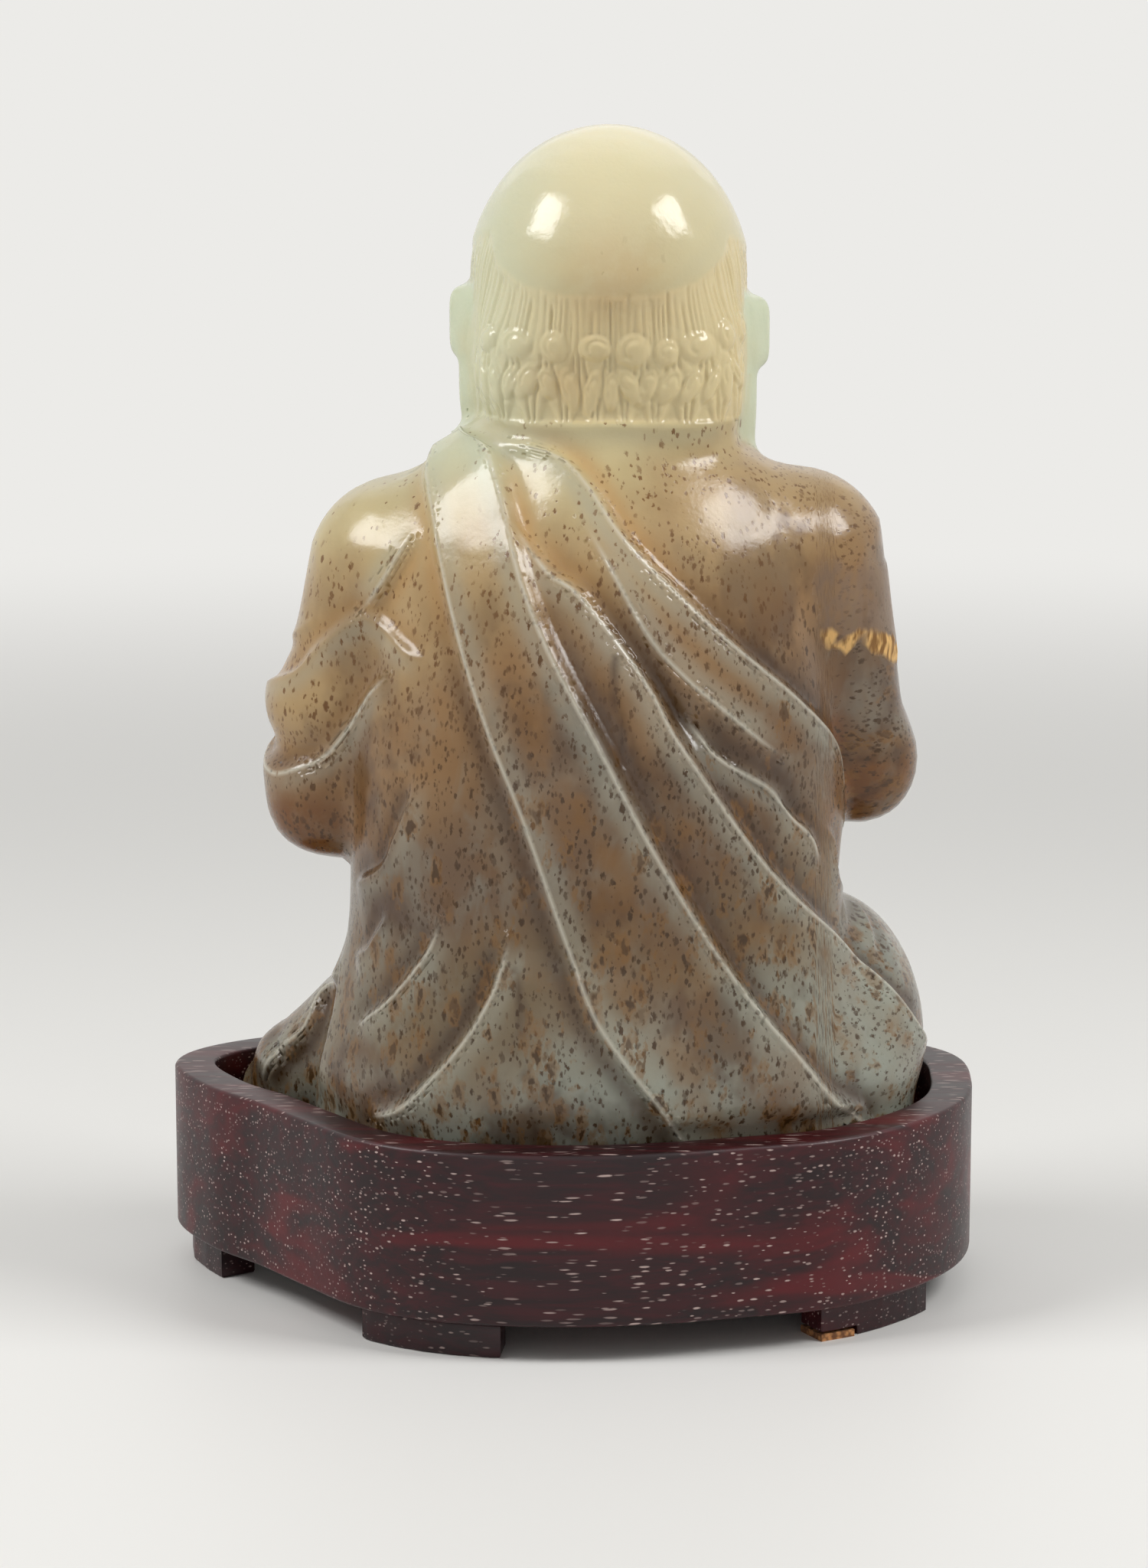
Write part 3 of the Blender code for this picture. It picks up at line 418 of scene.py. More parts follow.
def robe_folds_on_back():
    """Pleats that fan out from the left shoulder to the right hip."""
    edge = [
        (10, -6, 93), (7, 2, 98), (0.5, 93), (-6.5, 84), (-14, 76.5), (-21.5, 69.5), (-29, 62.5),
        (-33.5, 56), (-33, 0, 50), (-30, -10, 46),
    ]
    roll = [(-1.5, 86.5), (-9, 73.5), (-14, 67.5), (-18.5, 63.5), (-23, 59.5), (-27, 56.5)]
    roll_groove = [(-1.5, 78.5), (-6, 73), (-10, 68), (-14, 62.5), (-19, 58), (-23.5, 53.5), (-31.5, 47)]
    inner = [(-14, 63.5), (-16, 60.5), (-19, 57), (-25.5, 52.5), (-28, 48.5), (-30, 46), (-32, 41.5)]
    upper = [
        (8, 87), (3, 80.5), (-0.5, 78), (-6, 71.5), (-10, 65.5), (-14, 58), (-24.5, 42.5),
        (-36, 28.5), (-45, 18), (-48, -4, 13),
    ]
    middle = [
        (13, 1, 98), (12, 97), (9, 90.5), (4, 74), (-3.5, 59), (-11.5, 43.5), (-22, 26.5),
        (-32, 14), (-37, 9.5), (-40, 5),
    ]
    outer = [
        (17.5, 0, 96), (17.5, 91.5), (16.5, 85), (13, 70), (9.5, 59.5), (5.5, 49.5), (0, 33.5),
        (-3.5, 24.5), (-10, 15.5), (-14, 9.5), (-17, 4),
    ]
    return [
        fold(edge, 1.2, 1.1, 5, dip=0.5, dip_width=3, side=-1),
        fold(roll, 0.9, 3.2, 3.2, fade=8),
        fold(roll_groove, -1.2, 1.5, 1.5, fade=8),
        fold(inner, 0.8, 1.0, 3, dip=0.5, dip_width=2.4, side=-1),
        fold(upper, 1.3, 1.2, 7, dip=0.9, dip_width=3.5, side=-1, fade=9),
        fold(middle, 1.5, 1.4, 8, dip=1.2, dip_width=5, side=-1),
        fold(outer, 0.8, 1.0, 5, dip=0.4, dip_width=3, side=1),
    ]


def swags_on_back():
    """Cloth that hangs in curves from the sleeve to the left hip."""
    first = [(19.5, 55), (20, 51), (22, 46), (24, 41.5), (28, 38)]
    second = [(22.5, 36.5), (24.5, 33), (26, 30.5), (28, 29)]
    third = [(16.5, 37), (17, 34), (18.5, 31), (23, 25), (28, 20)]
    fourth = [(7.5, 35), (9.5, 28), (13.5, 21), (18.5, 15), (21.5, 12), (26, 9.5)]
    side_hem = [(-32, 47), (-33.5, 44), (-34.5, 38.5), (-37.5, 33.5), (-39.5, 27)]
    leg_ridge = [(30, 26), (32.5, 21), (35, 15.5), (38.5, 12), (42, 7)]
    robe_edge = [(30.1, 28.5), (29.9, 25.6), (31.3, 18.1), (32.4, 13.5), (32.6, 9.2)]
    return [
        fold(first, 0.7, 0.9, 4, dip=0.5, dip_width=3, side=1),
        fold(second, 0.6, 0.9, 3, dip=0.4, dip_width=2.5, side=1, fade=3),
        fold(third, 0.8, 0.9, 4, dip=0.7, dip_width=3, side=1),
        fold(fourth, 1.0, 1.0, 4, dip=1.0, dip_width=3, side=1),
        fold(side_hem, 0.5, 0.8, 2.5, dip=0.4, dip_width=2, side=-1),
        fold(leg_ridge, 1.3, 1.8, 4, dip=0.8, dip_width=3, side=-1, fade=4),
        fold(robe_edge, 0.6, 1.1, 2.5, dip=0.7, dip_width=2, side=1, fade=4),
    ]


def sleeve_folds():
    """Two rolls round the left sleeve, and the tuck that leaves the upper one."""
    tuck = [(19.1, 85.5), (21.5, 81.5), (24.5, 77), (27.3, 73.8)]
    upper = [
        (17.7, 67.9), (21.1, 69.9), (25.6, 73.2), (28.2, 72.4), (33, 67.9), (36, 64.8), (39.2, 63.2),
        (38.5, -8, 62),
    ]
    lower = [
        (22.9, 66.7), (26, 62.2), (29.3, 57.8), (33, 53.9), (37.2, 52.2), (39, 52.3), (40.3, -3, 53.8),
        (39, -8, 57),
    ]
    crease = [(37.6, 68.3), (34, 71.6), (33.6, 73.2)]
    front = [(36, -12, 60), (28, -17, 52), (16, -22, 47)]
    return [
        fold(tuck, 0.8, 1.2, 3, dip=0.8, dip_width=2.5, side=-1),
        fold(upper, 0.7, 1.2, 3, dip=0.7, dip_width=2.5, side=1),
        fold(lower, 0.8, 1.5, 3.5, dip=0.7, dip_width=2.5, side=1),
        fold(crease, 0.35, 0.8, 1.2, fade=2),
        fold(front, 0.8, 0.9, 3, dip=0.4, dip_width=2, side=1),
    ]


def robe_folds_in_front():
    """The robe's edge across the chest, pleats beside it, and swags between the knees."""
    folds = []
    edge = [(10, -6, 93), (9, -12, 88), (2, -18, 74), (-9, -19, 60), (-20, -16, 52), (-30, -10, 46)]
    folds.append(fold(edge, 1.2, 0.8, 5, dip=0.4, dip_width=3, side=1))
    for shift in (6, 12):
        pleat = [(x + shift, y, z - 0.3 * shift) for x, y, z in edge[1:5]]
        folds.append(fold(pleat, 0.8, 0.9, 4, dip=0.4, dip_width=2.5, side=1))
    for drop, spread in ((0, 22), (6, 26), (12, 30)):
        swag = [(-spread, -22, 27 - drop), (-spread / 2, -25, 19 - drop), (0, -27, 16 - drop)]
        swag += [(x + 2 * spread * t, y, z) for t, (x, y, z) in zip((0.5, 1), swag[1::-1])]
        folds.append(fold(swag, 0.9, 1.0, 3.5, dip=0.5, dip_width=3, side=1))
    return folds


def hairline():
    """The edge of the short hair round the back of the head, standing proud of the scalp."""
    path = [
        in_head(1.0, 0.2, 0.2), in_head(0.9, -0.5, 0.35), in_head(0.78, -0.6, 0.12),
        in_head(0.6, -0.8, -0.03), in_head(0.3, -0.92, -0.09), in_head(-0.35, -0.92, -0.09),
        in_head(-0.6, -0.8, 0.03), in_head(-0.78, -0.6, 0.18), in_head(-0.9, -0.5, 0.3),
        in_head(-1.0, 0.2, 0.15),
    ]
    return fold([tuple(place / MM) for place in path], 0.25, 0.9, 4, side=1, fade=4)


def hair_end():
    """The lower edge of the hair, across the nape from ear to ear."""
    path = [in_head(side, -0.7, -0.92) / MM for side in (0.9, 0.6, 0.3, 0, -0.3, -0.6, -0.9)]
    return fold([tuple(place) for place in path], 0.5, 0.7, 4, side=-1, fade=3)


# How far behind the seat's middle a place on the back starts its way to the form, in mm
CLEAR_OF_BACK = 45.0


def placed(path):
    """A carving path's places, moved onto the form."""
    places = np.array([(p[0], CLEAR_OF_BACK, p[1]) if len(p) == 2 else p for p in path]) * MM
    seen = np.array([len(p) == 2 for p in path])
    for _ in range(30):
        places[seen, 1] -= np.clip(form(places[seen]), 0, 2 * MM)
    return settled(places)


def faded(share):
    """Smooth rise from 0 to 1."""
    share = np.clip(share, 0, 1)
    return share * share * (3 - 2 * share)


Traced = namedtuple("Traced", "crease path facing lengths")


def traced(crease):
    """A fold's path drawn onto the form as a smooth curve, with the form's normals along it."""
    path = settled(smooth_path(placed(crease.path), 6), 2)
    return Traced(crease, path, normals_at(path), np.linalg.norm(np.diff(path, axis=0), axis=1))


# How many of its widths a fold reaches from its crest, and how high a crest counts as sharp
FOLD_REACH = 2.4
SHARP_CREST = 0.75 * MM


def in_box(points, path, reach):
    """Indices of the points in a path's box, which is widened by a reach."""
    inside = (points > path.min(0) - reach) & (points < path.max(0) + reach)
    return np.flatnonzero(np.all(inside, axis=1))


def fold_relief(points, normals, line):
    """Height that a fold adds, and masks for the painted light beside its crest, the stain and painted
    shade in its valley, its gentle flank and the painted glint on its sharp edge.

    On the steep side the height is a narrow bell that falls into a wide shallow dip. On the
    gentle side it is one wide bell. Both meet at the crest and fade out at the path's ends.
    """
    crease = line.crease
    height, crest, valley, flank = np.zeros((4, len(points)))
    near = in_box(points, line.path, FOLD_REACH * max(crease.gentle, crease.dip_width, crease.steep))
    segment, share, gap = beside(points[near], line.path)
    across = np.cross(np.diff(line.path, axis=0)[segment], line.facing[segment])
    away = np.linalg.norm(gap, axis=1)
    steep_side = (across * gap).sum(1) * crease.side > 0
    fall = (crease.height + crease.dip) * np.exp(-((away / crease.steep) ** 1.7))
    fall -= crease.dip * np.exp(-((away / crease.dip_width) ** 2))
    gentle = crease.height * np.exp(-((away / crease.gentle) ** 1.25))
    travelled = (np.cumsum(line.lengths) - line.lengths)[segment] + share * line.lengths[segment]
    ends = faded(np.minimum(travelled, line.lengths.sum() - travelled) / crease.fade)
    same_side = faded(((line.facing[segment] * normals[near]).sum(1) - 0.1) / 0.4)
    shown = ends * same_side
    height[near] = np.where(steep_side, fall, gentle) * shown
    signed = np.where(steep_side, away, -away) / MM
    strength = min(abs(crease.height) / MM, 1.0) * shown
    if crease.height < 0:
        # A groove's valley: brown that is partly stain and partly painted shade.
        valley[near] = np.exp(-((signed / 1.3) ** 2)) * strength
    else:
        # Crest: a pale band on the gentle side of the crest, painted light as if it shone through the
        # thin edge.
        crest[near] = np.exp(-(((signed + 1.1) / 1.5) ** 2)) * strength
        # Valley: brown at the foot of the steep side, partly stain and partly painted shade of the
        # crease.
        valley[near] = np.exp(-(((signed - 2.0) / 1.5) ** 2)) * strength * (crease.dip > 0)
        flank[near] = np.exp(-(((signed + 5.2) / 2.6) ** 2)) * strength * (crease.gentle > 4.5 * MM)
    # Edge: a painted highlight, a thin glint along the top of each sharp crest.
    edge = np.zeros(len(points))
    if crease.height > SHARP_CREST:
        edge[near] = np.exp(-((signed / 0.26) ** 2)) * shown
    return height, crest, valley, flank, edge


# Hair: strands fall from the hairline, and two rows of curls go round the nape
HAIRLINE_BEARINGS = (-101, -61, -52, -37, -18, 18, 37, 52, 61, 101)
HAIRLINE_HEIGHTS = (0.15, 0.30, 0.16, 0.02, -0.06, -0.06, 0.0, 0.14, 0.33, 0.2)
HAIR_END = -0.92
CURL_ROWS = (-0.44, -0.69)
HEAD_RADIUS = 18.7 * MM


def on_head(points):
    """Bearing round the head from its back, in radians, and height in skull radii."""
    offset = (points - HEAD) / SKULL
    return np.arctan2(offset[:, 0], offset[:, 1]), offset[:, 2], offset


def hair_mask(points, soft=0.04):
    """1 in the hair, from its line down to its lower edge and from temple to temple."""
    bearing, up, offset = on_head(points)
    line = np.interp(np.degrees(bearing), HAIRLINE_BEARINGS, HAIRLINE_HEIGHTS)
    inside = faded((line - up) / soft) * faded((up - HAIR_END) / 0.03)
    inside *= faded((112 - np.abs(np.degrees(bearing))) / 8)
    return inside * (np.linalg.norm(offset[:, :2], axis=1) < 1.35) * (up < 1)


def ear_mask(points):
    """1 on the ears and close to them."""
    mask = np.zeros(len(points))
    for ear in EARS:
        top, lobe = in_head(ear.top_side, 0.06, ear.top_up), in_head(ear.lobe_side, 0, ear.lobe_up)
        for middle, radii in ((top, EAR_TOP), (lobe, EAR_LOBE)):
            away = np.abs((points - middle) @ rotation(ear.turn)) / (radii + 0.6 * MM)
            mask = np.maximum(mask, faded((1.1 - away.max(1)) / 0.2))
    return mask


def strand_relief(points, sizes):
    """Grooves between strands of hair, which part as they fall.

    A strand's number is the arc from the back of the head over the pitch, which widens with
    the depth below the hairline. A slow wave bends it. The groove is a narrow bell at each
    whole number. Every third or so is deeper, which gathers the strands into locks.
    """
    bearing, up, _ = on_head(points)
    line = np.interp(np.degrees(bearing), HAIRLINE_BEARINGS, HAIRLINE_HEIGHTS)
    arc = bearing * HEAD_RADIUS
    depth = line - up
    number = arc / (sizes.strand_pitch * (1 + 0.28 * np.clip(depth, 0, 0.5)))
    number += 0.5 * np.sin(7 * depth + 1.1 * number) * np.clip(depth, 0, 1) + 0.35 * np.sin(0.8 * number)
    whole = np.round(number)
    uneven = 0.5 + 0.5 * np.sin(12.9898 * whole) * np.cos(4.1414 * whole)
    shown = faded((depth - 0.16 * (uneven - 0.4)) / 0.09)
    groove = np.exp(-(((number - whole) / 0.22) ** 2)) * (0.4 + 0.6 * uneven)
    deeper = np.exp(-(((number / 3.3 - np.round(number / 3.3)) / 0.09) ** 2))
    return -sizes.strand_depth * (groove + 0.7 * deeper) * shown


def curl_places(sizes):
    """Middles of the curls and their sizes, unevenly along two arcs from ear to ear."""
    places, scales = [], []
    for row, up in enumerate(CURL_ROWS):
        turns = np.radians(np.arange(-64, 65, 4.0))
        arc = np.stack([0.9 * np.sin(turns), 0.9 * np.cos(turns), np.full(len(turns), up)], axis=1)
        arc[:, 2] += 0.14 * (1 - np.cos(turns))
        path = settled(HEAD + SKULL * arc)
        travelled = np.concatenate([[0], np.cumsum(np.linalg.norm(np.diff(path, axis=0), axis=1))])
        pitch = sizes.curl_pitch * (1 - 0.42 * row)
        count = int(travelled[-1] / pitch)
        stops = np.linspace(0, travelled[-1], count + 1) + row * pitch / 2
        wobble = np.sin(7.3 * np.arange(count + 1) + 2 * row)
        stops = stops[:-1] + 0.13 * pitch * wobble[:-1]
        places.append(np.stack([np.interp(stops, travelled, path[:, i]) for i in range(3)], axis=1))
        places[-1][:, 2] += 0.5 * MM * np.cos(5.1 * np.arange(count) + row)
        scales.append((1 - 0.12 * row) * (1 + 0.14 * np.sin(3.7 * np.arange(count) + row)))
    rows = np.repeat(np.arange(len(places)), [len(row) for row in places])
    return settled(np.concatenate(places)), np.concatenate(scales), rows


def curl_relief(points, sizes):
    """Curls of hair: a row of low domes, each with a hooked groove, and a row of leaning locks.

    A dome falls off with the fourth power of the distance. Its groove winds inward from the
    rim over a part of a turn. A lock is the same dome, narrow and tilted one way or the other.
    """
    height, mask = np.zeros((2, len(points)))
    places, scales, rows = curl_places(sizes)
    facings = normals_at(places)
    for index, (place, facing, scale, row) in enumerate(zip(places, facings, scales, rows)):
        radius = sizes.curl_radius * scale
        near = np.flatnonzero(((points - place) ** 2).sum(1) < (2.2 * radius) ** 2)
        side = np.cross((0, 0, 1), facing)
        side /= np.linalg.norm(side)
        rise = np.cross(facing, side)
        offset = points[near] - place
        right, up = offset @ side, offset @ rise
        stretch = 1 + 0.1 * math.sin(2.3 * index)
        if row:
            lean = math.radians(34) * math.sin(4.7 * index + 0.3 * index**2)
            cosine, sine = math.cos(lean), math.sin(lean)
            right, up = right * cosine + up * sine, up * cosine - right * sine
            stretch = 1.5 + 0.2 * math.sin(5.3 * index)
        away = np.hypot(right * stretch, up / stretch) / radius
        angle = np.arctan2(up, right) - math.radians(30) - 0.5 * math.sin(9.7 * index)
        angle %= 2 * math.pi
        winding = 0.86 - 0.13 * angle
        hook = np.exp(-(((away - winding) / 0.17) ** 2)) * faded(angle / 0.5)
        hook *= faded((3.9 - angle) / 0.7)
        dome = (1 - 0.3 * row) / (1 + away**4)
        moat = np.exp(-(((away - 1.25) / 0.2) ** 2))
        height[near] += sizes.curl_height * (dome - 0.3 * hook - 0.2 * moat)
        mask[near] = np.maximum(mask[near], np.clip(1.35 - away, 0, 1) * 2)
    return height, np.clip(mask, 0, 1)


def lock_relief(points, sizes):
    """Short locks between the two rows of curls and below them.

    They are a wave along the head with a period of two strands, leaning one way and the other.
    """
    bearing, up, _ = on_head(points)
    arc = bearing * HEAD_RADIUS / (1.9 * sizes.strand_pitch)
    lean = 3.2 * np.sin(2.1 * arc) * (up + 0.7)
    number = arc + lean
    groove = np.exp(-(((number - np.round(number)) / 0.2) ** 2))
    return -1.4 * sizes.strand_depth * groove


def hair_relief(points, sizes):
    """Strands above the first row of curls, locks below it, and the curls over both."""
    _, up, _ = on_head(points)
    inside = hair_mask(points) * (1 - ear_mask(points))
    upper = faded((up - CURL_ROWS[0] + 0.06) / 0.08)
    curls, covered = curl_relief(points, sizes)
    lines = strand_relief(points, sizes) * upper + lock_relief(points, sizes) * (1 - upper)
    return inside * (curls + lines * (1 - covered)), inside


def ear_grooves():
    """The hollow inside each ear's rim, on its front, from the top down to the lobe."""
    grooves = []
    shape = [(-2.6, -1.4), (-2.2, 1.8), (0.2, 3.2), (2.4, 1.6), (2.7, -3.0), (2.2, -7.5), (1.0, -11)]
    for ear in EARS:
        turn = rotation(ear.turn)
        front = -math.copysign(3.0, ear.turn) * turn[:, 0]
        middle = in_head(ear.top_side, 0.06, ear.top_up) / MM
        path = [tuple(middle + front + y * turn[:, 1] + (0, 0, z)) for y, z in shape]
        grooves.append(fold(path, -0.8, 0.9, 0.9, fade=2.5))
    return grooves


def eyelid_relief(points):
    """Each eye's lids, which are almost closed: a cut that sags between the eye's corners."""
    height = np.zeros(len(points))
    for side in (-1, 1):
        middle = in_head(side * 0.36, 1.0, -0.05)
        offset = (points - middle) * (side, 1, 1)
        across = offset[:, 0] / (4.4 * MM)
        sag = offset[:, 2] + 1.0 * MM * (1 - across**2)
        lid = offset[:, 2] - 2.0 * MM * (1 - 0.8 * across**2)
        close = (np.abs(across) < 1.1) & (np.abs(offset[:, 1]) < 7 * MM)
        ends = faded((1.1 - np.abs(across)) / 0.3)
        cut = -0.45 * np.exp(-((sag / (0.28 * MM)) ** 2)) - 0.3 * np.exp(-((lid / (0.35 * MM)) ** 2))
        height += np.where(close, cut * ends * MM, 0)
    return height


def carving(points, normals, lines, sizes):
    """All the relief along the normals, with the masks that colour it."""
    height = np.zeros(len(points))
    masks = dict.fromkeys(("crest", "valley", "flank", "edge"), height)
    for line in lines:
        rise, *made = fold_relief(points, normals, line)
        height = height + rise
        masks = {name: np.maximum(masks[name], mask) for name, mask in zip(masks, made)}
    hair, hair_area = hair_relief(points, sizes)
    height += hair + eyelid_relief(points)
    masks["valley"] *= 1 - hair_area
    masks["hair"] = hair_area
    masks["ear"] = ear_mask(points)
    return height, masks


# The stone's own skin left on the right upper arm: its outline seen from behind, in millimetres
SKIN_OUTLINE = mm(
    (-31.5, 83.0), (-34.4, 80.4), (-38.0, 80.8), (-41.0, 79.5), (-44.5, 77.5), (-44.8, 71.0),
    (-42.5, 67.4), (-39.5, 68.8), (-37.6, 70.4), (-35.5, 69.6), (-32.6, 70.0), (-30.9, 73.4),
    (-30.7, 79.0),
)


def skin_patch_mask(points):
    """The patch of the stone's skin, and its ragged lower edge.

    Both are levels of the distance from the patch's outline, of places shaken by sine waves.
    """
    x, z = points[:, 0] / MM, points[:, 2] / MM
    level = z + 0.5 * np.sin(1.9 * x) + 0.3 * np.sin(4.3 * x + 1) + 0.2 * np.sin(9.1 * x)
    shaken = mm(x + 0.35 * np.sin(2.3 * z + 1.1 * np.sin(1.7 * x)), level)
    close = np.flatnonzero((x < -26) & (x > -50) & (z > 62) & (z < 88) & (points[:, 1] > -10 * MM))
    away = np.full(len(points), 20.0)
    away[close] = outline_distance(shaken.T[close], SKIN_OUTLINE) / MM
    spans = np.exp(-(((x + 34.4) / 2.6) ** 4)) + np.exp(-(((x + 40.6) / 3.4) ** 4))
    edge = np.exp(-(((away + 0.3) / 1.2) ** 2)) * faded((73.5 - z) / 1.5) * np.clip(spans, 0, 1)
    return faded(-away / 0.8), edge


# Russet stains, and one patch of painted shade inside the right arm (the third): middle and spread in
# millimetres from the seat's middle, on the back or on the left
STAINS_AND_SHADE = (
    ((35.0, 0, 44.5), (7.0, 16, 5.0)),
    ((-40.0, 0, 49.0), (6.5, 14, 5.0)),
    # Painted shade on the inner side of the right arm, not a stain.
    ((-33.5, 4, 56.0), (2.5, 6, 8.0)),
    ((-6.0, 18, 116.0), (7.0, 12, 6.5)),
    ((2.0, 18, 104.0), (5.0, 12, 3.5)),
    ((37.5, 0, 78.0), (4.5, 10, 9.0)),
    ((25.0, 10, 12.0), (5.0, 12, 5.0)),
    ((-26.0, 20, 16.0), (6.0, 14, 8.0)),
    ((-12.0, 20, 34.0), (5.0, 14, 12.0)),
)
STAIN_AND_SHADE_STRENGTHS = (1.9, 2.0, 1.4, 0.4, 0.35, 0.35, 0.7, 0.6, 0.5)


def stain_and_shade_mask(points):
    """Russet stains and the painted shade inside the right arm, each a soft ellipsoid."""
    mask = np.zeros(len(points))
    for (middle, spread), strength in zip(STAINS_AND_SHADE, STAIN_AND_SHADE_STRENGTHS):
        away = (((points - np.array(middle) * MM) / (np.array(spread) * MM)) ** 2).sum(1)
        mask = np.maximum(mask, np.minimum(strength * np.exp(-away), 0.95))
    return mask


# Cracks in the stone, seen from behind, in millimetres from the seat's middle
CRACKS = (
    ((6.9, 31), (6.2, 26), (6.6, 21), (5.2, 14), (4.2, 9), (2.6, 5)),
    ((-5.5, 70), (-5.2, 66), (-6.2, 62), (-6.3, 57)),
    ((-37.5, 54), (-41, 54.4), (-44.8, 55.9)),
    ((-36.3, 48), (-39.5, 49.8), (-44.2, 54.9)),
)


def crack_relief(points):
    """How close each point is to a crack, from 0 to 1."""
    mask = np.zeros(len(points))
    for places in CRACKS:
        path = settled(smooth_path(placed(places), 5), 2)
        near = in_box(points, path, 3 * MM)
        segment, _, gap = beside(points[near], path)
        away = np.linalg.norm(gap, axis=1)
        mask[near] = np.maximum(mask[near], np.exp(-((away / (0.5 * MM)) ** 2)))
    return mask


def new_object(name, mesh):
    result = bpy.data.objects.new(name, mesh)
    bpy.context.scene.collection.objects.link(result)
    return result


def mesh_of(name, points, faces):
    """A mesh from an array of points and lists of faces."""
    mesh = bpy.data.meshes.new(name)
    mesh.from_pydata(points.tolist(), [], faces)
    mesh.validate()
    return mesh


def baked_mesh(source):
    """The object's mesh as its modifiers leave it. The object itself is removed."""
    bpy.context.view_layer.update()
    evaluated = source.evaluated_get(bpy.context.evaluated_depsgraph_get())
    mesh = bpy.data.meshes.new_from_object(evaluated)
    bpy.data.objects.remove(source)
    return mesh


def coordinates(mesh):
    flat = np.empty(3 * len(mesh.vertices))
    mesh.vertices.foreach_get("co", flat)
    return flat.reshape(-1, 3)


def closed_grid(rings):
    """Faces of a tube of equal closed rings of points, whose two ends are single points.

    The points are numbered ring by ring, and the two end points come last.
    """
    count, around = rings
    index = np.arange(count * around).reshape(count, around)
    after = np.roll(index, -1, axis=1)
    quads = np.stack([index[:-1], after[:-1], after[1:], index[1:]], axis=-1).reshape(-1, 4)
    start, end = count * around, count * around + 1
    first = np.stack([np.full(around, start), after[0], index[0]], axis=-1)
    last = np.stack([np.full(around, end), index[-1], after[-1]], axis=-1)
    return quads.tolist() + first.tolist() + last.tolist()


def directions(count, around):
    """Unit vectors on a grid of latitude by longitude, and its two poles last."""
    tilt = np.linspace(0, math.pi, count + 2)[1:-1, None]
    turn = np.linspace(0, 2 * math.pi, around, endpoint=False)[None, :]
    flat = np.stack([np.cos(turn), np.sin(turn)]) * np.sin(tilt)
    ring = np.stack([*flat, np.cos(tilt) + 0 * turn], axis=-1)
    return np.concatenate([ring.reshape(-1, 3), [[0, 0, 1], [0, 0, -1]]])


def ball_points(ball, rays):
    """A superellipsoid: each ray is cut where the sum of its powers is one, then stretched."""
    size = (np.abs(rays) ** ball.power).sum(1) ** (-1 / ball.power)
    return ball.centre + (rays * size[:, None] * ball.radii) @ rotation(ball.turn).T


def limb_points(limb, rays):
    """The hull of two spheres: each ray goes to the sphere that reaches further along it."""
    axis = Vector(limb.end - limb.start)
    rays = rays @ np.array(axis.to_track_quat("Z", "Y").to_matrix()).T
    ahead = rays @ np.array(axis) + limb.end_radius - limb.start_radius > 0
    centre = np.where(ahead[:, None], limb.end, limb.start)
    return centre + rays * np.where(ahead, limb.end_radius, limb.start_radius)[:, None]


def fused_skin(grid):
    """All the masses as one skin of even squares."""
    rings = (22, 32)
    rays = directions(*rings)
    faces = closed_grid(rings)
    points, all_faces = [], []
    for number, mass in enumerate(MASSES):
        shape = ball_points if isinstance(mass, Ball) else limb_points
        points.append(shape(mass, rays))
        start = number * len(rays)
        all_faces += [[start + corner for corner in reversed(face)] for face in faces]
    masses = new_object("masses", mesh_of("masses", np.concatenate(points), all_faces))
    fuse = masses.modifiers.new("Fuse", "REMESH")
    fuse.mode = "VOXEL"
    fuse.voxel_size = grid
    return baked_mesh(masses)


def edge_pairs(mesh):
    pairs = np.empty(2 * len(mesh.edges), int)
    mesh.edges.foreach_get("vertices", pairs)
    return pairs.reshape(-1, 2)


def relaxed(points, edges, rounds=4):
    """Points spread evenly over the form, each time drawn to their neighbours' middle."""
    ends = np.concatenate([edges, edges[:, ::-1]])
    count = np.bincount(ends[:, 0], minlength=len(points))[:, None]
    for _ in range(rounds):
        total = [np.bincount(ends[:, 0], points[ends[:, 1], i], len(points)) for i in range(3)]
        points = points + 0.5 * (np.stack(total, axis=1) / count - points)
        points = settled(points, 1)
    return points


def near_detail(points, lines, share):
    """True near a fold's crest, in the hair, on the face, ears and hands."""
    wanted = (hair_mask(points, 0.1) > 0.3) | (ear_mask(points) > 0.3)
    _, _, offset = on_head(points)
    face = (offset[:, 1] < -0.35) & (np.abs(offset[:, 0]) < 0.85)
    wanted |= face & (offset[:, 2] < 0.4) & (offset[:, 2] > -1.15)
    wanted |= np.linalg.norm(points - HANDS, axis=1) < 14 * MM
    for line in lines:
        reach = share * (1.3 * line.crease.steep + 0.3 * line.crease.dip_width + 1.0 * MM)
        near = in_box(points, line.path, reach)
        gap = beside(points[near], line.path)[2]
        wanted[near] |= (gap**2).sum(1) < reach**2
    return wanted


def at_nape(points):
    """True in the hair that is seen from behind."""
    bearing, _, _ = on_head(points)
    return (np.abs(np.degrees(bearing)) < 72) & (hair_mask(points, 0.1) * (1 - ear_mask(points)) > 0.3)


def refined(mesh, wanted_at):
    """Faces whose middles are wanted, cut in four, and their neighbours cut to match."""
    centres = np.empty(3 * len(mesh.polygons))
    mesh.polygons.foreach_get("center", centres)
    wanted = wanted_at(centres.reshape(-1, 3))
    bm = bmesh.new()
    bm.from_mesh(mesh)
    edges = {edge for face, chosen in zip(bm.faces, wanted) if chosen for edge in face.edges}
    bmesh.ops.subdivide_edges(bm, edges=list(edges), cuts=1, use_grid_fill=True)
    bmesh.ops.triangulate(bm, faces=[face for face in bm.faces if len(face.verts) > 4])
    bm.to_mesh(mesh)
    bm.free()
    mesh.vertices.foreach_set("co", settled(coordinates(mesh), 1).ravel())


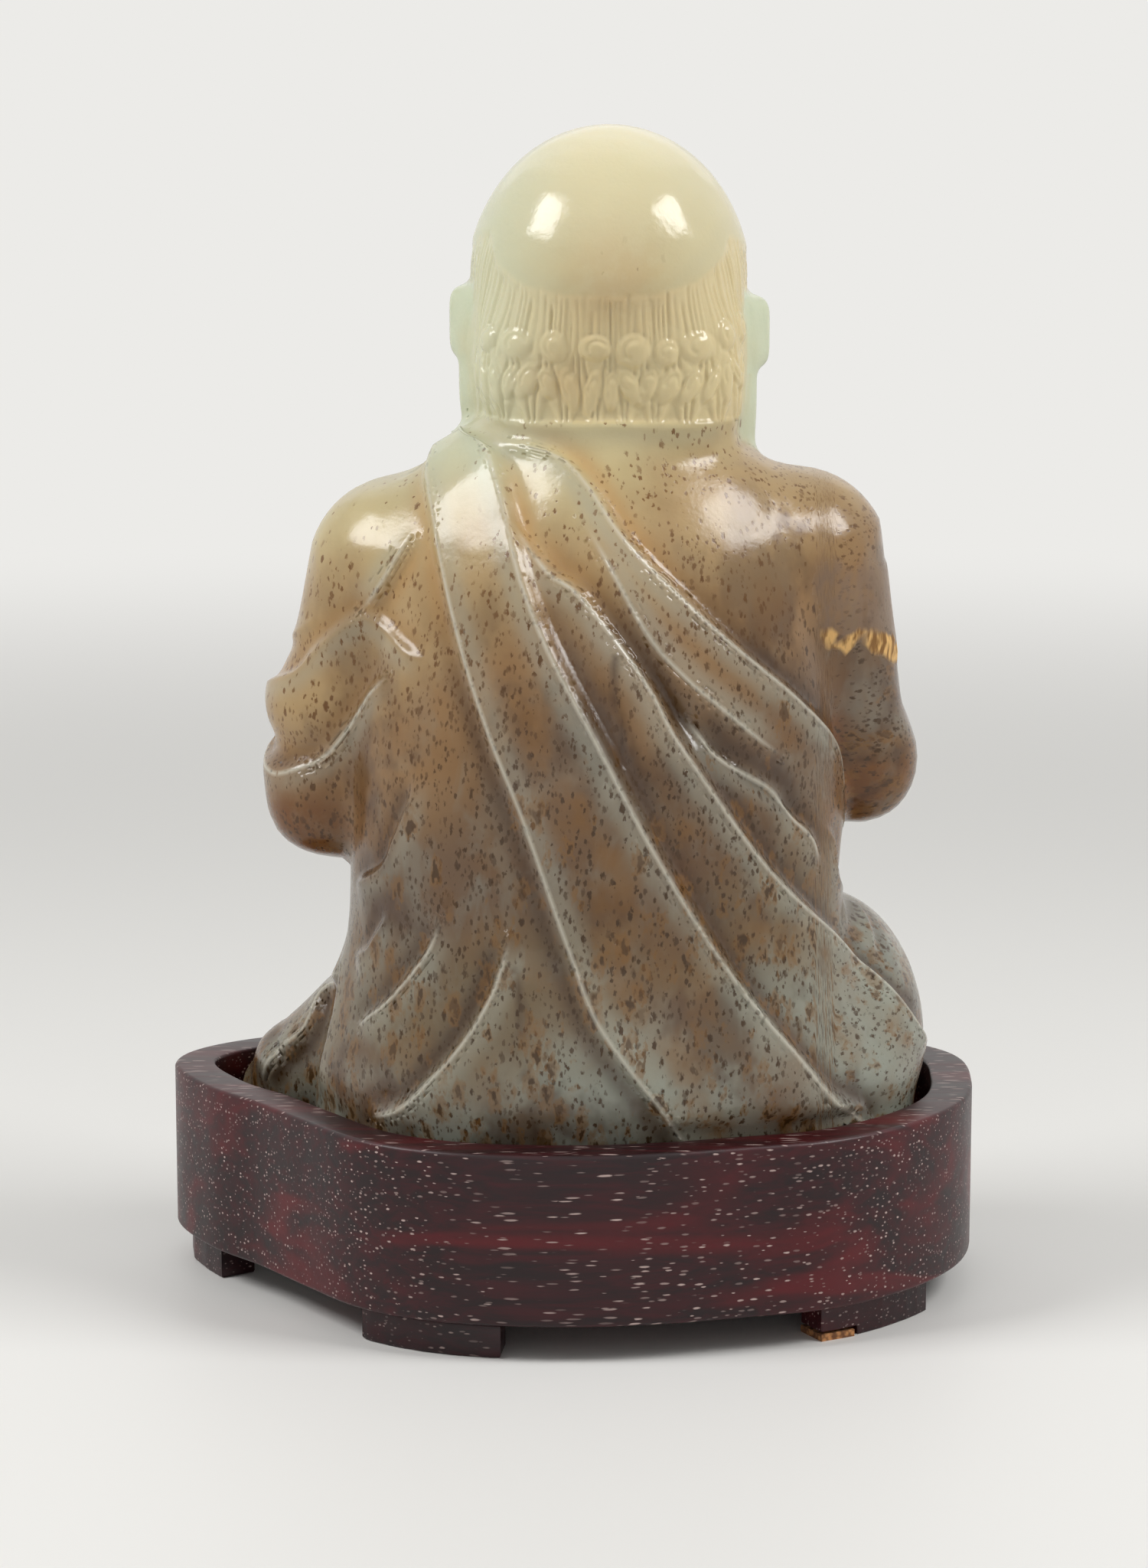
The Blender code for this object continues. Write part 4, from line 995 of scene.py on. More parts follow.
def rows_along_folds(points, lines, spacing):
    """Points near a fold drawn into rows beside its crest, so that no face straddles it.

    A point's distance from the crest is rounded to a whole number of spacings. The rounding
    dies away towards the outside of a band of a few rows.
    """
    band = 5 * spacing
    lines = [line for line in lines if line.crease.height > SHARP_CREST]
    away = np.full((len(lines), len(points)), 2 * band)
    gaps = np.zeros((len(lines), len(points), 3))
    for number, line in enumerate(lines):
        near = in_box(points, line.path, band)
        gaps[number, near] = beside(points[near], line.path)[2]
        away[number, near] = np.linalg.norm(gaps[number, near], axis=1)
    first, second = np.partition(away, 1, axis=0)[:2]
    share = faded((band - first) / (2 * spacing)) * faded((second - first - spacing) / (2 * spacing))
    rows = np.round(first / spacing) * spacing
    pull = (rows / np.maximum(first, 0.01 * MM) - 1) * share
    gap = gaps[away.argmin(0), np.arange(len(points))]
    return settled(points + gap * pull[:, None], 1)


def in_triangles(mesh, points, height):
    """Triangles of the mesh. Each square is cut between the corners most alike in height."""
    corners = np.empty(len(mesh.loops), int)
    mesh.loops.foreach_get("vertex_index", corners)
    starts, sizes = np.empty((2, len(mesh.polygons)), int)
    mesh.polygons.foreach_get("loop_start", starts)
    mesh.polygons.foreach_get("loop_total", sizes)
    quads = corners[starts[sizes == 4][:, None] + np.arange(4)]
    cost = []
    for first, second in ((0, 2), (1, 3)):
        length = np.linalg.norm(points[quads[:, first]] - points[quads[:, second]], axis=1)
        cost.append(length + 4 * np.abs(height[quads[:, first]] - height[quads[:, second]]))
    quads = np.where((cost[0] <= cost[1])[:, None], quads, np.roll(quads, -1, axis=1))
    rest = corners[starts[sizes == 3][:, None] + np.arange(3)]
    return np.concatenate([rest, quads[:, [0, 1, 2]], quads[:, [0, 2, 3]]])


def kept_in_socket(points):
    """Points near and below the rim drawn in until they clear the socket's wall."""
    low = np.flatnonzero(points[:, 2] < RIM_ABOVE_SEAT + 4 * MM)
    closed = np.concatenate([SEAT_WALL, SEAT_WALL[:1]])
    gap = beside(points[low, :2], closed)[2]
    allowed = np.maximum(points[low, 2] - RIM_ABOVE_SEAT - MM, 0)
    excess = outline_distance(points[low, :2], SEAT_WALL) - allowed
    share = np.maximum(excess, 0) / np.maximum(np.linalg.norm(gap, axis=1), 0.01 * MM)
    points[low, :2] -= gap * share[:, None]
    return points


def cut_flat(mesh):
    """The seat: all below it is cut off, and the cut is closed with a flat face."""
    bm = bmesh.new()
    bm.from_mesh(mesh)
    everything = bm.verts[:] + bm.edges[:] + bm.faces[:]
    bmesh.ops.bisect_plane(bm, geom=everything, plane_co=(0, 0, 0), plane_no=(0, 0, -1), clear_outer=True)
    bmesh.ops.holes_fill(bm, edges=[edge for edge in bm.edges if edge.is_boundary])
    bmesh.ops.recalc_face_normals(bm, faces=bm.faces[:])
    bm.to_mesh(mesh)
    bm.free()


def set_attribute(mesh, name, values):
    """One number for each point, for the material to read."""
    layer = mesh.attributes.new(name, "FLOAT", "POINT")
    layer.data.foreach_set("value", values.astype(np.float32))


def figure_mesh(sizes):
    mesh = fused_skin(sizes.grid)
    points = relaxed(settled(coordinates(mesh), 3), edge_pairs(mesh))
    mesh.vertices.foreach_set("co", settled(points, 1).ravel())
    folds = robe_folds_on_back() + swags_on_back() + sleeve_folds() + robe_folds_in_front()
    lines = [traced(crease) for crease in folds + [hairline(), hair_end()] + ear_grooves()]
    for share in (1.3, 0.5):
        refined(mesh, lambda places: near_detail(places, lines, share))
    refined(mesh, at_nape)
    points = rows_along_folds(coordinates(mesh), lines, sizes.grid / 4)
    normals = normals_at(points)
    height, masks = carving(points, normals, lines, sizes)
    masks["skin"], masks["skin_edge"] = skin_patch_mask(points)
    masks["crack"] = crack_relief(points)
    masks["stain_and_shade"] = stain_and_shade_mask(points)
    height += 0.25 * MM * masks["skin"] - 0.2 * MM * masks["crack"]
    height += 0.3 * MM * masks["skin_edge"]
    triangles = in_triangles(mesh, points, height)
    mesh = mesh_of("figure_jade", kept_in_socket(points + height[:, None] * normals), triangles.tolist())
    for name, values in masks.items():
        set_attribute(mesh, name, values)
    cut_flat(mesh)
    mesh.transform(Matrix.Translation(SEAT_MIDDLE))
    mesh.shade_smooth()
    return mesh


# Stand
def along_wall(steps):
    """The socket's wall as a smooth closed curve, with a number of steps between its places."""
    socket = smooth_path(SOCKET_OUTLINE, steps, closed=True)
    coarse = offset_outline(smooth_path(SOCKET_OUTLINE, OUTLINE_STEPS, closed=True), RIM_WIDTH)
    return socket - (coarse.min(0) + coarse.max(0)) / 2


def rounded_corner(out, up, radius, turn_from, turn_to, steps=5):
    """Places on a quarter circle in a profile: distance out and height."""
    angles = np.radians(np.linspace(turn_from, turn_to, steps))
    return [(out + radius * math.cos(a), up + radius * math.sin(a)) for a in angles]


def block_profile(edge):
    """The block's section from the middle of its underside to the middle of its socket."""
    outer, top, low, floor = RIM_WIDTH, RIM_TOP, BLOCK_BOTTOM, SOCKET_FLOOR
    profile = [(-6 * MM, low), (outer - 4 * MM, low)]
    profile += rounded_corner(outer - edge, low + edge, edge, -90, 0)
    profile += [(outer, low + (top - low) * share) for share in (0.3, 0.7)]
    profile += rounded_corner(outer - edge, top - edge, edge, 0, 90)
    profile += [(outer * 0.6, top), (outer * 0.3, top)]
    profile += rounded_corner(edge * 0.7, top - edge * 0.7, edge * 0.7, 90, 180)
    profile += [(0, top - (top - floor) * 0.5), (0, floor), (-6 * MM, floor)]
    return np.array(profile)


def carried_round(wall, profile):
    """A profile carried round a closed wall: each place is the wall moved out and lifted."""
    run = np.roll(wall, -1, axis=0) - np.roll(wall, 1, axis=0)
    run /= np.linalg.norm(run, axis=1)[:, None]
    out = np.stack([run[:, 1], -run[:, 0]], axis=1)
    level = wall[None] + profile[:, 0, None, None] * out[None]
    height = np.broadcast_to(profile[:, 1, None, None], (*level.shape[:2], 1))
    points = np.concatenate([level, height], axis=-1)
    middle = wall.mean(0)
    ends = [(*middle, profile[0, 1]), (*middle, profile[-1, 1])]
    return np.concatenate([points.reshape(-1, 3), ends]), closed_grid(points.shape[:2])


def block_mesh(sizes):
    points, faces = carried_round(along_wall(12), block_profile(sizes.edge_round))
    mesh = mesh_of("block_wood", points + STAND_MIDDLE, faces)
    return smoothed(mesh)


def smoothed(mesh, angle=40):
    bm = bmesh.new()
    bm.from_mesh(mesh)
    bmesh.ops.recalc_face_normals(bm, faces=bm.faces[:])
    bm.to_mesh(mesh)
    bm.free()
    mesh.shade_smooth()
    mesh.set_sharp_from_angle(angle=math.radians(angle))
    return mesh


# Bearing of each foot's middle, in degrees from +X
FOOT_BEARINGS = {
    "foot_back_left": 57.0,
    "foot_back_right": 151.0,
    "foot_front_right": 209.0,
    "foot_front_left": -14.0,
}
SHIMMED_FOOT = "foot_back_right"
FOOT_INSET = 1.8 * MM
FOOT_WIDTH = 5.0 * MM
FOOT_LENGTH = 20.0 * MM


def foot_line(bearing, inset, steps=33):
    """The block's wall set in, a foot's length of it centred on a bearing."""
    coarse = offset_outline(BLOCK_WALL, -inset)
    bearings = np.arctan2(coarse[:, 1], coarse[:, 0])
    nearest = int(np.abs(np.angle(np.exp(1j * (bearings - math.radians(bearing))))).argmin())
    wall = np.roll(coarse, -nearest + len(coarse) // 2, axis=0)
    travelled = np.concatenate([[0], np.cumsum(np.linalg.norm(np.diff(wall, axis=0), axis=1))])
    travelled -= travelled[len(wall) // 2]
    stops = np.linspace(-FOOT_LENGTH / 2, FOOT_LENGTH / 2, steps)
    return np.stack([np.interp(stops, travelled, wall[:, i]) for i in range(2)], axis=1)


def foot_mesh(name, bearing, sizes):
    """A foot: a strip with rounded corners, whose section is carried up from the ground."""
    outer = foot_line(bearing, FOOT_INSET)
    run = np.gradient(outer, axis=0)
    run /= np.linalg.norm(run, axis=1)[:, None]
    inner = outer - FOOT_WIDTH * np.stack([run[:, 1], -run[:, 0]], axis=1)
    strip = np.concatenate([outer, inner[::-1]])
    edge = sizes.foot_round
    rings = []
    section = (
        (edge, 0.0), (edge * 0.3, edge * 0.3), (0, edge), (0, FOOT_HEIGHT - edge),
        (edge * 0.5, FOOT_HEIGHT),
    )
    for inset, up in section:
        rings.append(np.column_stack([strip_inset(strip, inset), np.full(len(strip), up)]))
    middle = strip.mean(0)
    points = np.concatenate(rings + [[(*middle, 0.0)], [(*middle, FOOT_HEIGHT)]])
    return smoothed(mesh_of(name, points + STAND_MIDDLE, closed_grid((len(rings), len(strip)))))


def strip_inset(strip, distance):
    """A strip of two equal sides drawn in towards its own middle line and middle."""
    half = len(strip) // 2
    middle = (strip[:half] + strip[half:][::-1]) / 2
    middle = np.concatenate([middle, middle[::-1]])
    away = strip - middle
    length = np.linalg.norm(away, axis=1)[:, None]
    drawn = middle + away * (1 - distance / length)
    ends = np.abs(np.linspace(-1, 1, half)) ** 12
    pull = np.concatenate([ends, ends[::-1]])[:, None]
    centre = strip.mean(0)
    toward = centre - drawn
    return drawn + pull * distance * toward / np.linalg.norm(toward, axis=1)[:, None]


def piece(name, mesh, slot, *nodes, material):
    """A finished piece on the frame's body, standing for its CAD nodes."""
    mesh.name = name
    mesh.materials.clear()
    mesh.materials.append(material)
    result = new_object(name, mesh)
    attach(result, "root")
    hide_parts(*nodes)
    return result


class Nodes:
    """Adds nodes to a tree. An input is a number, a colour or another node's output."""

    def __init__(self, tree):
        self.tree = tree

    def add(self, kind, inputs=None, **settings):
        node = self.tree.nodes.new(kind)
        for name, value in settings.items():
            setattr(node, name, value)
        for name, value in (inputs or {}).items():
            socket = node.inputs[name]
            if isinstance(value, bpy.types.NodeSocket):
                self.tree.links.new(value, socket)
            else:
                socket.default_value = value
        return node

    def maths(self, operation, first, second=0.0, third=0.0):
        inputs = {0: first, 1: second, 2: third}
        return self.add("ShaderNodeMath", inputs, operation=operation).outputs[0]

    def product(self, first, second):
        return self.maths("MULTIPLY", first, second)

    def step(self, value, low, high, low_to=0.0, high_to=1.0):
        """A smooth change from one level to another while the value goes from low to high."""
        inputs = {"Value": value, "From Min": low, "From Max": high, "To Min": low_to, "To Max": high_to}
        return self.add("ShaderNodeMapRange", inputs, interpolation_type="SMOOTHSTEP").outputs[0]

    def mixed(self, share, first, second):
        node = self.add("ShaderNodeMix", data_type="RGBA", clamp_factor=True)
        for index, value in ((0, share), (6, first), (7, second)):
            if isinstance(value, bpy.types.NodeSocket):
                self.tree.links.new(value, node.inputs[index])
            elif index == 0:
                node.inputs[index].default_value = value
            else:
                node.inputs[index].default_value = (*value[:3], 1.0)
        return node.outputs[2]

    def tinted(self, colour, tint, share, *shares):
        """The colour under a tint, whose strength is the product of the shares."""
        for other in shares:
            share = self.product(share, other)
        return self.mixed(share, colour, tint)

    def place(self, scale=(1, 1, 1), turn=(0, 0, 0), move=(0, 0, 0)):
        """Object coordinates, scaled, turned and moved."""
        where = self.add("ShaderNodeTexCoord").outputs["Object"]
        angles = tuple(math.radians(angle) for angle in turn)
        inputs = {"Vector": where, "Location": move, "Rotation": angles, "Scale": scale}
        return self.add("ShaderNodeMapping", inputs).outputs[0]

    def noise(self, place, size, detail=2.0, roughness=0.5, distortion=0.0):
        inputs = {"Vector": place, "Scale": 1 / size, "Detail": detail, "Roughness": roughness}
        inputs["Distortion"] = distortion
        return self.add("ShaderNodeTexNoise", inputs).outputs["Fac"]

    def patches(self, place, size, low, high, detail=4.0, roughness=0.6, distortion=0.0):
        """Soft patches: noise, faded in from one of its levels to another."""
        return self.step(self.noise(place, size, detail, roughness, distortion), low, high)

    def cells(self, place, size):
        """Distance to the nearest of scattered points, in cell sizes."""
        inputs = {"Vector": place, "Scale": 1 / size}
        return self.add("ShaderNodeTexVoronoi", inputs, feature="F1").outputs["Distance"]

    def attribute(self, name):
        return self.add("ShaderNodeAttribute", attribute_name=name).outputs["Fac"]

    def ramp(self, value, stops):
        node = self.add("ShaderNodeValToRGB", {"Fac": value})
        band = node.color_ramp
        band.interpolation = "EASE"
        while len(band.elements) < len(stops):
            band.elements.new(0.5)
        for element, (position, colour) in zip(band.elements, stops):
            element.position = position
            element.color = (*colour[:3], 1.0)
        return node.outputs["Color"]

    def seen(self):
        """1 for the rays of the camera and of reflections and refractions, 0 for the rest."""
        path = self.add("ShaderNodeLightPath").outputs
        mirrored = self.maths("MAXIMUM", path["Is Glossy Ray"], path["Is Transmission Ray"])
        return self.maths("MAXIMUM", path["Is Camera Ray"], mirrored)

    def bump(self, height, distance, strength=1.0, before=None):
        inputs = {"Height": height, "Distance": distance, "Strength": strength}
        if before is not None:
            inputs["Normal"] = before
        return self.add("ShaderNodeBump", inputs).outputs[0]


def group_tree(name, inputs, outputs):
    """An empty shader node group with named inputs and outputs."""
    tree = bpy.data.node_groups.new(name, "ShaderNodeTree")
    for socket, kind, default in inputs:
        made = tree.interface.new_socket(name=socket, in_out="INPUT", socket_type="NodeSocket" + kind)
        if default is not None:
            made.default_value = default
    for socket, kind in outputs:
        tree.interface.new_socket(name=socket, in_out="OUTPUT", socket_type="NodeSocket" + kind)
    nodes = Nodes(tree)
    return tree, nodes, nodes.add("NodeGroupInput").outputs, nodes.add("NodeGroupOutput").inputs


def specks_group():
    """Scattered specks: cells whose points lie nearer than a size that differs by cell.

    A cell's own random number decides whether it shows and how big its speck is. The place
    is shaken by fine noise first, which gives the specks ragged edges.
    """
    tree, nodes, given, made = group_tree(
        "specks",
        [
            ("Place", "Vector", None), ("Size", "Float", 1.0), ("Shake", "Float", 0.3),
            ("Share", "Float", 0.5), ("Reach", "Float", 0.35),
        ],
        [("Mask", "Float"), ("Chance", "Float")],
    )
    link = tree.links.new
    shake = nodes.add("ShaderNodeTexNoise", {"Scale": 2.6, "Detail": 2.0})
    scaled = nodes.add("ShaderNodeVectorMath", operation="SCALE")
    link(given["Place"], scaled.inputs[0])
    link(given["Size"], scaled.inputs["Scale"])
    link(scaled.outputs[0], shake.inputs["Vector"])
    centred = nodes.add("ShaderNodeVectorMath", {1: (0.5, 0.5, 0.5)}, operation="SUBTRACT")
    link(shake.outputs["Color"], centred.inputs[0])
    strength = nodes.add("ShaderNodeVectorMath", operation="SCALE")
    link(centred.outputs[0], strength.inputs[0])
    link(given["Shake"], strength.inputs["Scale"])
    shaken = nodes.add("ShaderNodeVectorMath", operation="ADD")
    link(scaled.outputs[0], shaken.inputs[0])
    link(strength.outputs[0], shaken.inputs[1])
    cell = nodes.add("ShaderNodeTexVoronoi", {"Scale": 1.0}, feature="F1")
    link(shaken.outputs[0], cell.inputs["Vector"])
    parts = nodes.add("ShaderNodeSeparateColor")
    link(cell.outputs["Color"], parts.inputs[0])
    chance = parts.outputs[0]
    shows = nodes.step(nodes.maths("SUBTRACT", given["Share"], chance), 0.0, 0.15)
    radius = nodes.maths("MULTIPLY", given["Reach"], nodes.step(parts.outputs[1], 0.0, 1.0, 0.45, 1.0))
    inside = nodes.step(nodes.maths("DIVIDE", cell.outputs["Distance"], radius), 1.0, 0.55)
    link(nodes.maths("MULTIPLY", inside, shows), made["Mask"])
    link(parts.outputs[2], made["Chance"])
    return tree


def group_node(nodes, tree, **inputs):
    node = nodes.add("ShaderNodeGroup", node_tree=tree)
    for name, value in inputs.items():
        if isinstance(value, bpy.types.NodeSocket):
            nodes.tree.links.new(value, node.inputs[name])
        else:
            node.inputs[name].default_value = value
    return node.outputs


def surface(name, **constants):
    """A material with its Principled shader, whose constant values are set on its sockets."""
    made = bpy.data.materials.new(name)
    made.use_nodes = True
    shader = made.node_tree.nodes["Principled BSDF"]
    for socket, value in constants.items():
        shader.inputs[socket.replace("_", " ")].default_value = value
    return made, Nodes(made.node_tree), shader.inputs


def wire(nodes, inputs, **sockets):
    for name, value in sockets.items():
        nodes.tree.links.new(value, inputs[name.replace("_", " ")])


def stone_level(nodes, parts):
    """Level in the stone, 0 at the seat and 1 at the crown, leant to the right arm and warped."""
    tall = FIGURE_HIGH[2] - FIGURE_LOW[2]
    warp = nodes.noise(nodes.place(), 30 * MM, 3.0)
    lean = nodes.product(nodes.product(parts[0], 2.6), nodes.step(parts[2], 100 * MM, 85 * MM))
    level = nodes.maths("ADD", nodes.maths("DIVIDE", parts[2], tall), lean)
    return nodes.maths("ADD", level, nodes.maths("MULTIPLY_ADD", warp, 0.26, -0.13))


def stone_colour(nodes, parts, level, colours):
    """Bands of colour over the level, with clouds, the folds' tints (stain with painted shade in the
    valleys, painted light by the crests), hair, ears, stains and the painted shade inside the right arm.
    """
    colour = nodes.ramp(level, [
        (0.0, colours.base), (0.09, colours.base), (0.2, colours.low), (0.34, colours.mauve),
        (0.5, colours.back), (0.62, colours.shoulder), (0.74, colours.neck), (1.0, colours.head),
    ])
    cloud = nodes.patches(nodes.place(scale=(1, 1, 0.6)), 8 * MM, 0.46, 0.64, distortion=0.5)
    colour = nodes.tinted(colour, colours.cloud, cloud, nodes.step(level, 0.66, 0.3), 0.42)
    dusk = nodes.patches(nodes.place(move=(0.4, 0.1, 0), scale=(1, 1, 0.7)), 12 * MM, 0.48, 0.66)
    colour = nodes.tinted(colour, colours.dusk, dusk, nodes.step(level, 0.75, 0.4), 0.75)
    honey = nodes.patches(nodes.place(move=(0.2, 0.5, 0)), 10 * MM, 0.45, 0.65, 3.0, 0.55)
    colour = nodes.tinted(colour, colours.halo, honey, nodes.step(level, 0.8, 0.55), 0.25)
    flank = nodes.product(nodes.attribute("flank"), nodes.maths("MULTIPLY_ADD", honey, 0.4, 0.2))
    colour = nodes.tinted(colour, colours.halo, flank, nodes.step(level, 0.72, 0.4))
    # The folds' valleys: brown, partly iron stain and partly painted shade of the crease, stronger and
    # darker low down and honey-coloured higher up.
    hollow = nodes.mixed(nodes.step(level, 0.45, 0.7), colours.valley, colours.honey)
    deep = nodes.step(level, 0.95, 0.5, 0.12, 0.8)
    colour = nodes.tinted(colour, hollow, nodes.attribute("valley"), deep)
    # Painted light: a pale bluish band beside each crest, as if light shone through the thin edge.
    colour = nodes.tinted(colour, colours.crest, nodes.attribute("crest"), 0.45)
    colour = nodes.tinted(colour, colours.hair, nodes.attribute("hair"), 0.6)
    left_side = nodes.step(parts[0], -2 * MM, 13 * MM)
    greenish = nodes.product(nodes.product(left_side, nodes.step(parts[2], 86 * MM, 96 * MM)), 0.6)
    greenish = nodes.maths("MAXIMUM", greenish, nodes.product(nodes.attribute("ear"), 0.85))
    colour = nodes.mixed(greenish, colour, colours.mint)
    uneven = nodes.step(nodes.noise(nodes.place(), 5 * MM, 4.0, 0.65), 0.3, 0.6, 0.45, 1.0)
    # Russet stains, and the painted shade inside the right arm, in the stain colour.
    stained = nodes.mixed(nodes.step(level, 0.5, 0.8), colours.stain_and_shade, colours.honey)
    return nodes.tinted(colour, stained, nodes.attribute("stain_and_shade"), uneven)


# Layers of flecks: size of a cell, shake of the edges, reach in cells, share of the cells that
# hold one, and strength. Flecks larger than HALO_FROM have a halo round them.
Flecks = namedtuple("Flecks", "size shake reach often strength")
FLECK_LAYERS = (
    Flecks(0.66 * MM, 0.6, 0.47, 1.0, 0.9),
    Flecks(1.0 * MM, 0.8, 0.45, 0.9, 0.95),
    Flecks(2.2 * MM, 1.0, 0.4, 0.7, 0.9),
)
HALO_FROM = 2 * MM
HALO_REACH = 0.75


def fleck_share(nodes, parts, level):
    """Share of the cells that hold a fleck: more downwards, in patches and where stained, which includes
    the painted shade inside the right arm.

    There are few in the hair, on the ears and on top of the left shoulder.
    """
    stained = nodes.product(nodes.attribute("stain_and_shade"), nodes.step(level, 0.8, 0.6, 0.3, 1.3))
    share = nodes.maths("MAXIMUM", nodes.step(level, 0.86, 0.5), stained)
    patches = nodes.patches(nodes.place(move=(0, 0, 0.3)), 9 * MM, 0.35, 0.62, 3.0)
    share = nodes.product(share, nodes.maths("MULTIPLY_ADD", patches, 0.6, 0.6))
    clear = nodes.maths("MAXIMUM", nodes.attribute("hair"), nodes.attribute("ear"))
    share = nodes.product(share, nodes.maths("MULTIPLY_ADD", clear, -0.85, 1.0))
    left_side = nodes.step(parts[0], 2 * MM, 12 * MM)
    left_top = nodes.product(left_side, nodes.step(parts[2], 74 * MM, 84 * MM))
    return nodes.product(share, nodes.maths("MULTIPLY_ADD", left_top, -0.6, 1.0))


def with_flecks(nodes, parts, level, colours, colour, specks):
    """The colour with its rusty flecks, and the sum of their masks.

    The flecks are upright dashes on the back, and lie sideways on the right arm.
    """
    upright = nodes.place(scale=(1.0, 1.0, 0.55), turn=(0, 14, 0))
    sideways = nodes.place(scale=(0.5, 0.8, 1.0), turn=(0, 24, 0))
    place = nodes.mixed(nodes.step(parts[0], -31 * MM, -34 * MM), upright, sideways)
    share = fleck_share(nodes, parts, level)
    rust = nodes.mixed(nodes.step(level, 0.68, 0.35), colours.rust, colours.dark_rust)
    pits = 0.0
    for layer in FLECK_LAYERS:
        given = {"Place": place, "Size": 1 / layer.size, "Shake": layer.shake}
        given["Share"] = nodes.product(share, layer.often)
        if layer.size > HALO_FROM:
            given["Share"] = nodes.product(given["Share"], nodes.step(level, 0.5, 0.2))
            halo = group_node(nodes, specks, Reach=HALO_REACH, **given)
            colour = nodes.tinted(colour, colours.halo, halo["Mask"], 0.5)
        flecks = group_node(nodes, specks, Reach=layer.reach, **given)
        uneven = nodes.step(flecks["Chance"], 0.0, 1.0, 0.6, 1.0)
        colour = nodes.tinted(colour, rust, flecks["Mask"], uneven, layer.strength)
        pits = nodes.maths("ADD", flecks["Mask"], pits)
    return colour, pits


def with_skin(nodes, colours, colour):
    """The colour with the patch of the stone's skin, and the mask of its torn, fibrous edge."""
    grain = nodes.cells(nodes.place(scale=(1, 1, 0.5)), 1.1 * MM)
    veins = nodes.step(grain, 0.25, 0.7, 0.35, 0.75)
    colour = nodes.tinted(colour, colours.skin, nodes.attribute("skin"), veins)
    fibres = nodes.patches(nodes.place(scale=(1, 1, 0.25)), 0.8 * MM, 0.38, 0.62, 2.0, 0.5)
    torn = nodes.step(nodes.attribute("skin_edge"), 0.25, 0.6)
    return nodes.mixed(torn, colour, nodes.mixed(fibres, colours.skin_edge, colours.halo)), torn


def jade_material(colours, specks):
    """River jade: pale celadon above, mauve-brown below, grey-blue at the base, with rust.

    Rust lies in flecks that grow more and darker downwards, along the folds and in stains. The brown
    along the folds is partly painted shade, one stain is painted shade inside the right arm, and the pale
    bands and glints by the crests are painted light.
    The polish is sharper on the head than on the body.
    """
    made, nodes, shader = surface(
        "jade", IOR=1.43, Subsurface_Weight=0.2, Subsurface_Scale=1.0 * MM,
        Coat_Weight=0.1, Coat_Roughness=0.08,
    )
    shader["Subsurface Radius"].default_value = (1.0, 0.75, 0.5)
    from_seat = nodes.place(move=tuple(-SEAT_MIDDLE))
    parts = nodes.add("ShaderNodeSeparateXYZ", {"Vector": from_seat}).outputs
    level = stone_level(nodes, parts)
    colour = stone_colour(nodes, parts, level, colours)
    colour, pits = with_flecks(nodes, parts, level, colours, colour, specks)
    colour, torn = with_skin(nodes, colours, colour)
    colour = nodes.tinted(colour, colours.valley, nodes.attribute("crack"), 0.65)
    # Painted highlight: a thin pale glint along the sharp crests, stronger low down.
    glint_strength = nodes.step(level, 0.75, 0.6, 0.35, 0.62)
    colour = nodes.tinted(colour, colours.edge_glint, nodes.attribute("edge"), glint_strength)
    fine = nodes.noise(nodes.place(), 0.7 * MM)
    rough = nodes.maths("MULTIPLY_ADD", fine, 0.1, nodes.step(level, 0.85, 0.7, 0.1, 0.17))
    rough = nodes.maths("ADD", rough, nodes.product(torn, 0.4))
    rough = nodes.maths("ADD", rough, nodes.product(nodes.attribute("skin"), 0.12))
    polish = nodes.bump(nodes.noise(nodes.place(), 6 * MM, 1.0), 0.35 * MM)
    pitted = nodes.maths("MULTIPLY_ADD", pits, -0.3, fine)
    normal = nodes.bump(pitted, 0.03 * MM, before=polish)
    wire(nodes, shader, Base_Color=colour, Roughness=rough, Normal=normal)
    return made


def wood_material(name, colours, specks, darker=0.0):
    """Hardwood: grain along X, with filled pores that show as dashes and on ends as dots."""
    made, nodes, shader = surface(name, IOR=1.4, Coat_Weight=0.08, Coat_Roughness=0.25)
    streaks = nodes.noise(nodes.place(scale=(0.08, 1, 1)), 1.6 * MM, 4.0, 0.6, 0.6)
    bands = nodes.noise(nodes.place(scale=(0.12, 0.6, 1)), 9 * MM, 3.0, 0.5, 0.8)
    colour = nodes.mixed(nodes.step(streaks, 0.35, 0.7), colours.wood_dark, colours.wood)
    colour = nodes.tinted(colour, colours.wood_red, nodes.step(bands, 0.48, 0.7), 0.7)
    colour = nodes.tinted(colour, colours.wood_dark, nodes.step(bands, 0.47, 0.27), 0.7)
    along = nodes.place(scale=(0.13, 1, 1), turn=(0, 0, 2))
    size = 1 / (0.52 * MM)
    pores = group_node(nodes, specks, Place=along, Size=size, Shake=0.22, Share=1.0, Reach=0.36)
    worn = nodes.step(nodes.noise(nodes.place(), 12 * MM), 0.3, 0.6, 0.55, 1.0)
    uneven = nodes.product(worn, nodes.step(pores["Chance"], 0.1, 0.9, 0.3, 1.0))
    mask = nodes.product(pores["Mask"], uneven)
    colour = nodes.tinted(colour, colours.pore, mask, 0.9)
    if darker:
        colour = nodes.mixed(darker, colour, colours.wood_dark)
    rough = nodes.maths("MULTIPLY_ADD", streaks, 0.2, 0.3)
    grain = nodes.maths("MULTIPLY_ADD", mask, -0.6, streaks)
    normal = nodes.bump(grain, 0.05 * MM, 0.8)
    wire(nodes, shader, Base_Color=colour, Roughness=rough, Normal=normal)
    return made


